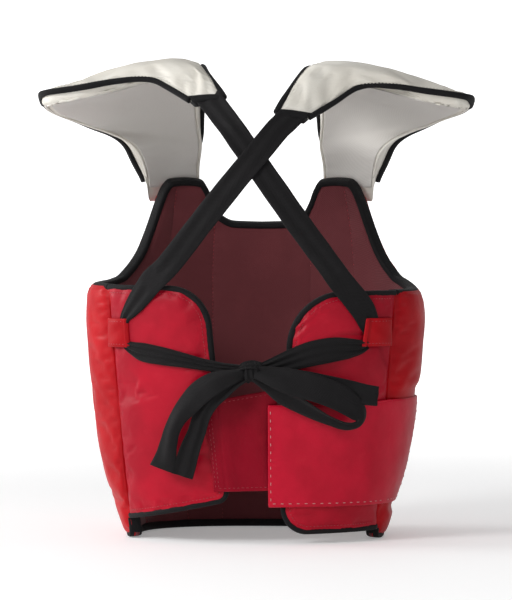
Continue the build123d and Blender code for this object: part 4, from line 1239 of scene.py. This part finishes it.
# ------------------------------------------------------------------ shoulder pads
# x, y, z of the neck and outer edges from the chest over the shoulder to the back;
# a y of None lies on the chest
NECK_EDGE = {
    1: [(62, None, 322), (61, None, 346), (59.5, -104, 384), (56, -71, 424), (53.5, -28, 448),
        (50, 10, 451), (44, 36, 444), (35, 56, 433), (26.8, 70.5, 420.5)],
    -1: [(62, None, 322), (61, None, 346), (59.5, -104, 384), (56, -71, 424), (53.5, -28, 447),
         (50, 12, 449), (43.5, 42.5, 440.5), (34, 65, 424.5), (24.5, 80, 406)],
}
OUTER_EDGE = {
    1: [(110, None, 322), (115, -92, 348), (137, -82, 379), (174, -65, 399), (200.5, -38, 411.5),
        (205, -7, 423), (199, 23, 426.5), (168, 36, 431), (128, 41, 437.5), (97, 46, 438),
        (78.5, 54, 430), (58.3, 67.0, 418.5)],
    -1: [(110, None, 322), (115, -92, 348), (137, -82, 379), (172, -65, 400), (199, -38, 411),
         (205.5, -7, 420.5), (199, 23, 423), (168, 36, 427.5), (128, 41, 432), (99, 47, 430),
         (78, 59, 417), (54, 76, 402.5)],
}
# share of the pad's length at each point
NECK_STATIONS = [0, 0.1, 0.24, 0.40, 0.55, 0.68, 0.80, 0.90, 1.0]
OUTER_STATIONS = [0, 0.09, 0.20, 0.32, 0.43, 0.53, 0.62, 0.72, 0.82, 0.89, 0.94, 1.0]
CHEST = 2.4                            # gap between chest and pad
# strength of the puckers on the top edge, underside and side wall
PAD_PUCKERS = {1: (0.3, 0.15, 0.3), -1: (0.4, 0.9, 0.8)}


def pad_thickness(along):
    return 3.0 + 12.0 * ease(along / 0.16) - 6.0 * ease((along - 0.86) / 0.14)


def pad_edge(keys, stations, along):
    points = []
    for station, (x, y, z) in zip(stations, keys):
        if y is None:
            y = float(front_point(x, z, CHEST + (3.0 if station == 0 else 10.0))[1])
        points.append((x, y, z))
    extend = dict(pad_width=1, mode="reflect", reflect_type="odd")
    stations = np.array(stations, float)
    gaps = np.pad(stations, **extend)
    columns = []
    for values in np.array(points, float).T:
        wide = np.pad(values, **extend)
        slopes = (wide[2:] - wide[:-2]) / (gaps[2:] - gaps[:-2])
        columns.append(hermite(stations, values, slopes, along))
    return np.stack(columns, -1)


def pad_top(side, along, across):
    """Top face between the neck edge (across 0) and the outer edge (1), crowned between them."""
    neck = pad_edge(NECK_EDGE[side], NECK_STATIONS, along)
    outer = pad_edge(OUTER_EDGE[side], OUTER_STATIONS, along)
    points = neck * (1 - across)[..., None] + outer * across[..., None]
    crown = 10.5 * ease((along - 0.16) / 0.3) * (1 - 0.92 * ease((along - 0.76) / 0.24))
    crown = crown * (sin(pi * across ** 0.75) * (1 - 0.25 * across))
    tilt = np.radians(-90 + 115 * ease(along))
    points[..., 1] += crown * sin(tilt)
    points[..., 2] += crown * cos(tilt)
    return points


def pad_point(side, along, across, depth):
    """Points depth below the top face, and their normals."""
    along, across, depth = np.broadcast_arrays(along, across, depth)
    step = 0.012
    lengthwise = (pad_top(side, np.minimum(1, along + step), across)
                  - pad_top(side, np.maximum(0, along - step), across))
    crosswise = (pad_top(side, along, np.minimum(1, across + step))
                 - pad_top(side, along, np.maximum(0, across - step)))
    normals = unit(cross(crosswise, lengthwise))
    top = pad_top(side, along, across)
    on_chest = (1 - ease((along - 0.11) / 0.16))[..., None]
    # the front end lies round the chest, not out to the side
    x, z = np.abs(top[..., 0]), top[..., 2]
    x = np.where(x > 105, 105 + (x - 105) * 0.35, x)
    chest = front_point(x, z, CHEST + pad_thickness(along) - depth)
    points = (top - normals * depth[..., None]) * (1 - on_chest) + chest * on_chest
    normals = unit(normals * (1 - on_chest) + normal(-back_angle(x, z), z) * on_chest)
    return points * mirror_for(side), normals * mirror_for(side)


def edge_frame(path, inner):
    """Directions out of an edge, square to it, and across both."""
    tangent = tangents(path)
    out = unit(path - inner)
    out = unit(out - tangent * (out * tangent).sum(1)[:, None])
    return out, unit(cross(tangent, out))


def build_pad(side):
    """Returns the pad's stitch rows."""
    name = SIDE[side]
    body = f"{name}_shoulder_pad"
    edge_pucker, under_pucker, wall_pucker = PAD_PUCKERS[side]
    even = linspace(0, 1, 121)
    along = 0.35 * (0.5 - 0.5 * cos(pi * even)) + 0.65 * even
    across = 0.5 - 0.5 * cos(pi * linspace(0, 1, 73))
    along, across = np.meshgrid(along, across, indexing="ij")
    base, _ = pad_point(side, along, across, 0)
    length, breadth = np.cumsum(steps(base, 0), 0), np.cumsum(steps(base, 1), 1)
    to_neck, to_outer = breadth - breadth[:, :1], breadth[:, -1:] - breadth
    to_rear, to_front = length[-1:] - length, length - length[:1]
    to_side = np.minimum(to_neck, to_outer)
    to_edge = np.minimum(to_side, to_rear)
    tip = ease((along - 0.2) / 0.15) * (1 - ease((along - 0.46) / 0.1))
    thickness = pad_thickness(along) * (1 - 0.5 * tip * across ** 2)
    relief = 0.8 * wobble(base, 70, 121 + side) + 0.4 * wobble(base, 28, 123 + side)
    relief = relief + (0.7 * wave(breadth, 15, 1.5 * wobble(base, 50, 125))
                       * fade(to_rear, 26.0) * ease(to_rear / 5))
    relief = relief + (edge_pucker * wave(length, 11, 1.6 * wobble(base, 40, 127))
                       * fade(to_side, 8))
    rise = (-2.6 * fade(to_edge, 4.5) + 0.6 * (1 - fade(to_edge, 16.0)) * ease(to_front / 20)
            + relief * (1 - fade(to_edge, 6)) * ease(to_front / 12))
    outer, _ = pad_point(side, along, across, -rise)
    rear = ease((along - 0.5) / 0.1)
    low = thickness - 1.6 * fade(to_side, 6.0) * ease(along / 0.2)
    low = low + (1.3 * wave(length, 13, 1.2 * wobble(base, 40, 130)) * fade(to_outer, 9.0)
                 * rear * (1 - ease((along - 0.9) / 0.08)) * under_pucker)
    low = low + 0.5 * wobble(base, 45, 129)
    inner, _ = pad_point(side, along, across, low)
    middle, _ = pad_point(side, along, across, thickness * 0.5)
    pinned = 1 - ease((np.minimum(to_edge, to_front) - 2.0) / 5.0)
    outer = puff(outer, middle, pinned, pressure=3.5, travel=3.0, growth=0.014, bending=0.5)
    uv = pair(length, breadth)
    wall = 3.0 + wall_pucker * wave(length, 14, wobble(base, 45, 131)) * rear
    wall = wall * (1 - 0.7 * ease((along - 0.9) / 0.08))
    place(shell(f"{name}_pad_padded", outer, inner, WHITE, uv, rim=7, bulge=border(wall)),
          "white_vinyl", body, f"{name}_pad_top_cover", f"{name}_pad_foam")

    # fabric on the underside, set in from the edges
    part = np.s_[7:-5, 9:-9]
    inset = np.minimum(to_edge, to_front)[part]
    ripple = 0.35 * wave(length[part], 12, wobble(base, 40, 132)[part]) * fade(inset, 8.0)
    upper, _ = pad_point(side, along[part], across[part], low[part] + 0.3)
    lower, _ = pad_point(side, along[part], across[part], low[part] + 1.4 + ripple)
    place(shell(f"{name}_pad_underside", lower, upper, WHITE_LINING, uv[part], bulge=0.5),
          "white_vinyl", body, f"{name}_pad_under_cover")

    # welts where the side wall meets the underside
    for edge, column, inside in (("outer", -1, -4), ("neck", 0, 3)):
        path = np.stack([smooth(values, np.hanning(11), mode="reflect", reflect_type="odd")
                         for values in inner[12:-3, column].T], 1)
        out, normals = edge_frame(path, inner[12:-3, inside])
        place(sweep(f"{name}_pad_{edge}_welt", path + out * 0.5, out, normals, 2.4, 2.4, WHITE,
                    corners=10, power=2.0), "white_vinyl", body)

    rows = []
    for edge, at in (("neck", 0.0), ("outer", 1.0)):
        along = linspace(0.06, 1.0, 200)
        path, facing = pad_point(side, along, at, 1.4)
        inside, _ = pad_point(side, along, abs(at - 0.03), 1.4)
        out, normals = edge_frame(path, inside)
        normals = normals * np.sign((normals * facing).sum(1))[:, None]
        path = path + out * 1.3 - normals * 0.6
        # round the outer tip the tape is folded down over the side wall
        turn = at * peak(along - 0.535, 0.045)
        path = path - normals * (3.6 * turn)[:, None]
        width = 5.2 + 0.25 * wobble(path, 40, 137) + 2.6 * turn
        place(sweep(f"{name}_pad_{edge}_tape", path, out, normals, width, 5.8 + 7.0 * turn,
                    BINDING, corners=18, power=2.8), "black_binding", body,
              f"{name}_pad_{edge}_binding")
        along = linspace(0.08, 0.93, 160)
        line, facing = pad_point(side, along, at, 1.6)
        inside, _ = pad_point(side, along, abs(at - 0.05), 1.0)
        rows.append((line + unit(inside - line) * 5.2 + facing * 1.5, facing))

    # hem tape at the rear end
    across = linspace(0, 1, 26)
    path, facing = pad_point(side, 1.0, across, 4.0)
    inside, _ = pad_point(side, 0.97, across, 4.0)
    out = unit((path - inside).mean(0))
    place(sweep(f"{name}_pad_hem_fold", path + out, out, unit(facing.mean(0)), 11.0, 10.4,
                BINDING, corners=18, power=3.8), "black_binding", body, f"{name}_pad_hem_tape")
    return rows


# ------------------------------------------------------------------ the whole guard, in order
trunk_rows, lining_rows = build_trunk()
build_top_binding()
build_hem_binding()
wing_rows = {side: [build_wing(side)] for side in SIDE}
for side in SIDE:
    build_folds(side)
for name, strap in STRAPS.items():
    build_strap(name, **strap)
for side in SIDE:
    wing_rows[side] += build_keeper(side)
for tie in TIES:
    build_tie(*tie)
for strand in BOW:
    build_bow(**strand)
for wrap in WRAPS:
    build_wrap(**wrap)
band_rows = build_band()
belt_rows, anchor_rows = build_belt()
pad_rows = {side: build_pad(side) for side in SIDE}

stitch("trunk_stitching", trunk_rows, RED_THREAD, "red_vinyl", "trunk")
stitch("trunk_lining_stitching", lining_rows, RED_THREAD, "lining", "trunk", pitch=3.8)
for side, name in SIDE.items():
    stitch(f"{name}_wing_stitching", wing_rows[side], RED_THREAD, "red_vinyl", f"{name}_wing")
    stitch(f"{name}_pad_stitching", pad_rows[side], WHITE_THREAD, "white_vinyl",
           f"{name}_shoulder_pad")
# the belt's pale stitches also stand for painted glints along its edges
for name, rows, body in (("waist_belt", belt_rows, "waist_belt"),
                         ("belt_anchor", anchor_rows, "trunk")):
    stitch(f"{name}_stitching", rows, PALE_THREAD_GLINT, "red_vinyl", body, pitch=7.5, length=3.4,
           radius=0.42)
stitch("waist_band_stitching", band_rows, RED_THREAD, "red_vinyl", "left_wing", pitch=4.2)

# the two halves of the hook-and-loop fastener stay as CAD pieces
for name in ("hook_patch", "loop_patch"):
    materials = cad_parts[name].data.materials
    materials.clear()
    materials.append(HOOK)


# ------------------------------------------------------------------ stage, light, camera (metres)
def floor_material():
    """Pale floor that glows brighter to the camera with distance, to meet the white world."""
    net = Shader("pale_floor")
    spot = net.coord()
    far = net.node("ShaderNodeVectorMath", operation="LENGTH")
    net.plug(far.inputs[0], spot)
    seen = net.node("ShaderNodeLightPath").outputs["Is Camera Ray"]
    distant = net.times(seen, net.ramp(far.outputs["Value"], low=0.5, high=2.6))
    color = net.mix(net.noise(spot, scale=3.0), (0.86, 0.86, 0.865), (0.90, 0.90, 0.90))
    glow = net.math("MULTIPLY_ADD", seen, 0.13, 0.12)
    return net.finish(Base_Color=color, Roughness=0.65, Emission_Color=(1.0, 1.0, 1.0),
                      Emission_Strength=net.math("MULTIPLY_ADD", distant, 0.75, glow))


def build_backdrop():
    """Floor that curves up into a wall on the front side."""
    bend_y, radius, half = -7.0, 0.9, 8.5
    profile = [(8.5, 0.0), (bend_y, 0.0)]
    for k in range(1, 13):
        angle = k / 12 * pi / 2
        profile.append((bend_y - radius * math.sin(angle), radius - radius * math.cos(angle)))
    profile.append((bend_y - radius, 6.0))
    vertices = [(x, y, z) for y, z in profile for x in (-half, half)]
    faces = [(2 * k, 2 * k + 1, 2 * k + 3, 2 * k + 2) for k in range(len(profile) - 1)]
    mesh = bpy.data.meshes.new("backdrop")
    mesh.from_pydata(vertices, [], faces)
    mesh.polygons.foreach_set("use_smooth", [True] * len(mesh.polygons))
    mesh.materials.append(floor_material())
    floor = bpy.data.objects.new("backdrop", mesh)
    bpy.context.scene.collection.objects.link(floor)


def build_world():
    """White to the camera; as light, dim from -x rising to bright from +x."""
    world = bpy.data.worlds.new("studio")
    scene.world = world
    world.use_nodes = True
    nodes, link = world.node_tree.nodes, world.node_tree.links.new
    background = nodes["Background"]
    background.inputs[0].default_value = (1.0, 1.0, 1.0, 1)
    coord = nodes.new("ShaderNodeTexCoord")
    split = nodes.new("ShaderNodeSeparateXYZ")
    link(coord.outputs["Generated"], split.inputs[0])
    ramp = nodes.new("ShaderNodeMapRange")
    link(split.outputs[0], ramp.inputs[0])
    for i, value in enumerate((-0.9, 0.9, 0.08, 0.76)):      # from x, to x, strength at each
        ramp.inputs[i + 1].default_value = value
    path = nodes.new("ShaderNodeLightPath")
    mix = nodes.new("ShaderNodeMix")
    link(path.outputs["Is Camera Ray"], mix.inputs[0])
    link(ramp.outputs[0], mix.inputs[2])
    mix.inputs[3].default_value = 1.0
    link(mix.outputs[0], background.inputs[1])


def area(name, location, target, size, power):
    light = bpy.data.lights.new(name, "AREA")
    configure(light, shape="DISK", size=size, energy=power)
    lamp = bpy.data.objects.new(name, light)
    aim(lamp, Vector(location), Vector(target) - Vector(location))
    scene.collection.objects.link(lamp)


def aim(item, location, direction):
    item.location = location
    item.rotation_mode = "QUATERNION"
    item.rotation_quaternion = direction.to_track_quat("-Z", "Y")


def build_camera(azimuth, elevation, distance, target, view_height):
    camera = bpy.data.cameras.new("camera")
    film = 36.0
    configure(camera, sensor_fit="VERTICAL", sensor_height=film, sensor_width=film,
              lens=film / (view_height / distance))
    holder = bpy.data.objects.new("camera", camera)
    scene.collection.objects.link(holder)
    scene.camera = holder
    away = Vector((math.sin(azimuth) * math.cos(elevation),
                   -math.cos(azimuth) * math.cos(elevation), math.sin(elevation)))
    aim(holder, Vector(target) + away * distance, -away)


scene = bpy.context.scene
build_backdrop()
build_world()
MIDDLE = (0, 0.05, 0.22)
area("key", (1.95, 2.15, 1.65), MIDDLE, size=1.1, power=48)
area("fill", (-1.3, 2.6, 0.9), MIDDLE, size=1.6, power=6.5)
area("side_left", (2.2, -0.2, 0.9), (0.1, 0, 0.2), size=1.0, power=24)
area("rim_right", (-1.7, 0.1, 0.8), (-0.1, 0, 0.2), size=0.5, power=2.5)
build_camera(azimuth=math.radians(183.0), elevation=math.radians(2.0), distance=4.5,
             target=(0.0, 0.0, 0.226), view_height=0.575)
configure(scene.view_settings, view_transform="Standard", look="None")
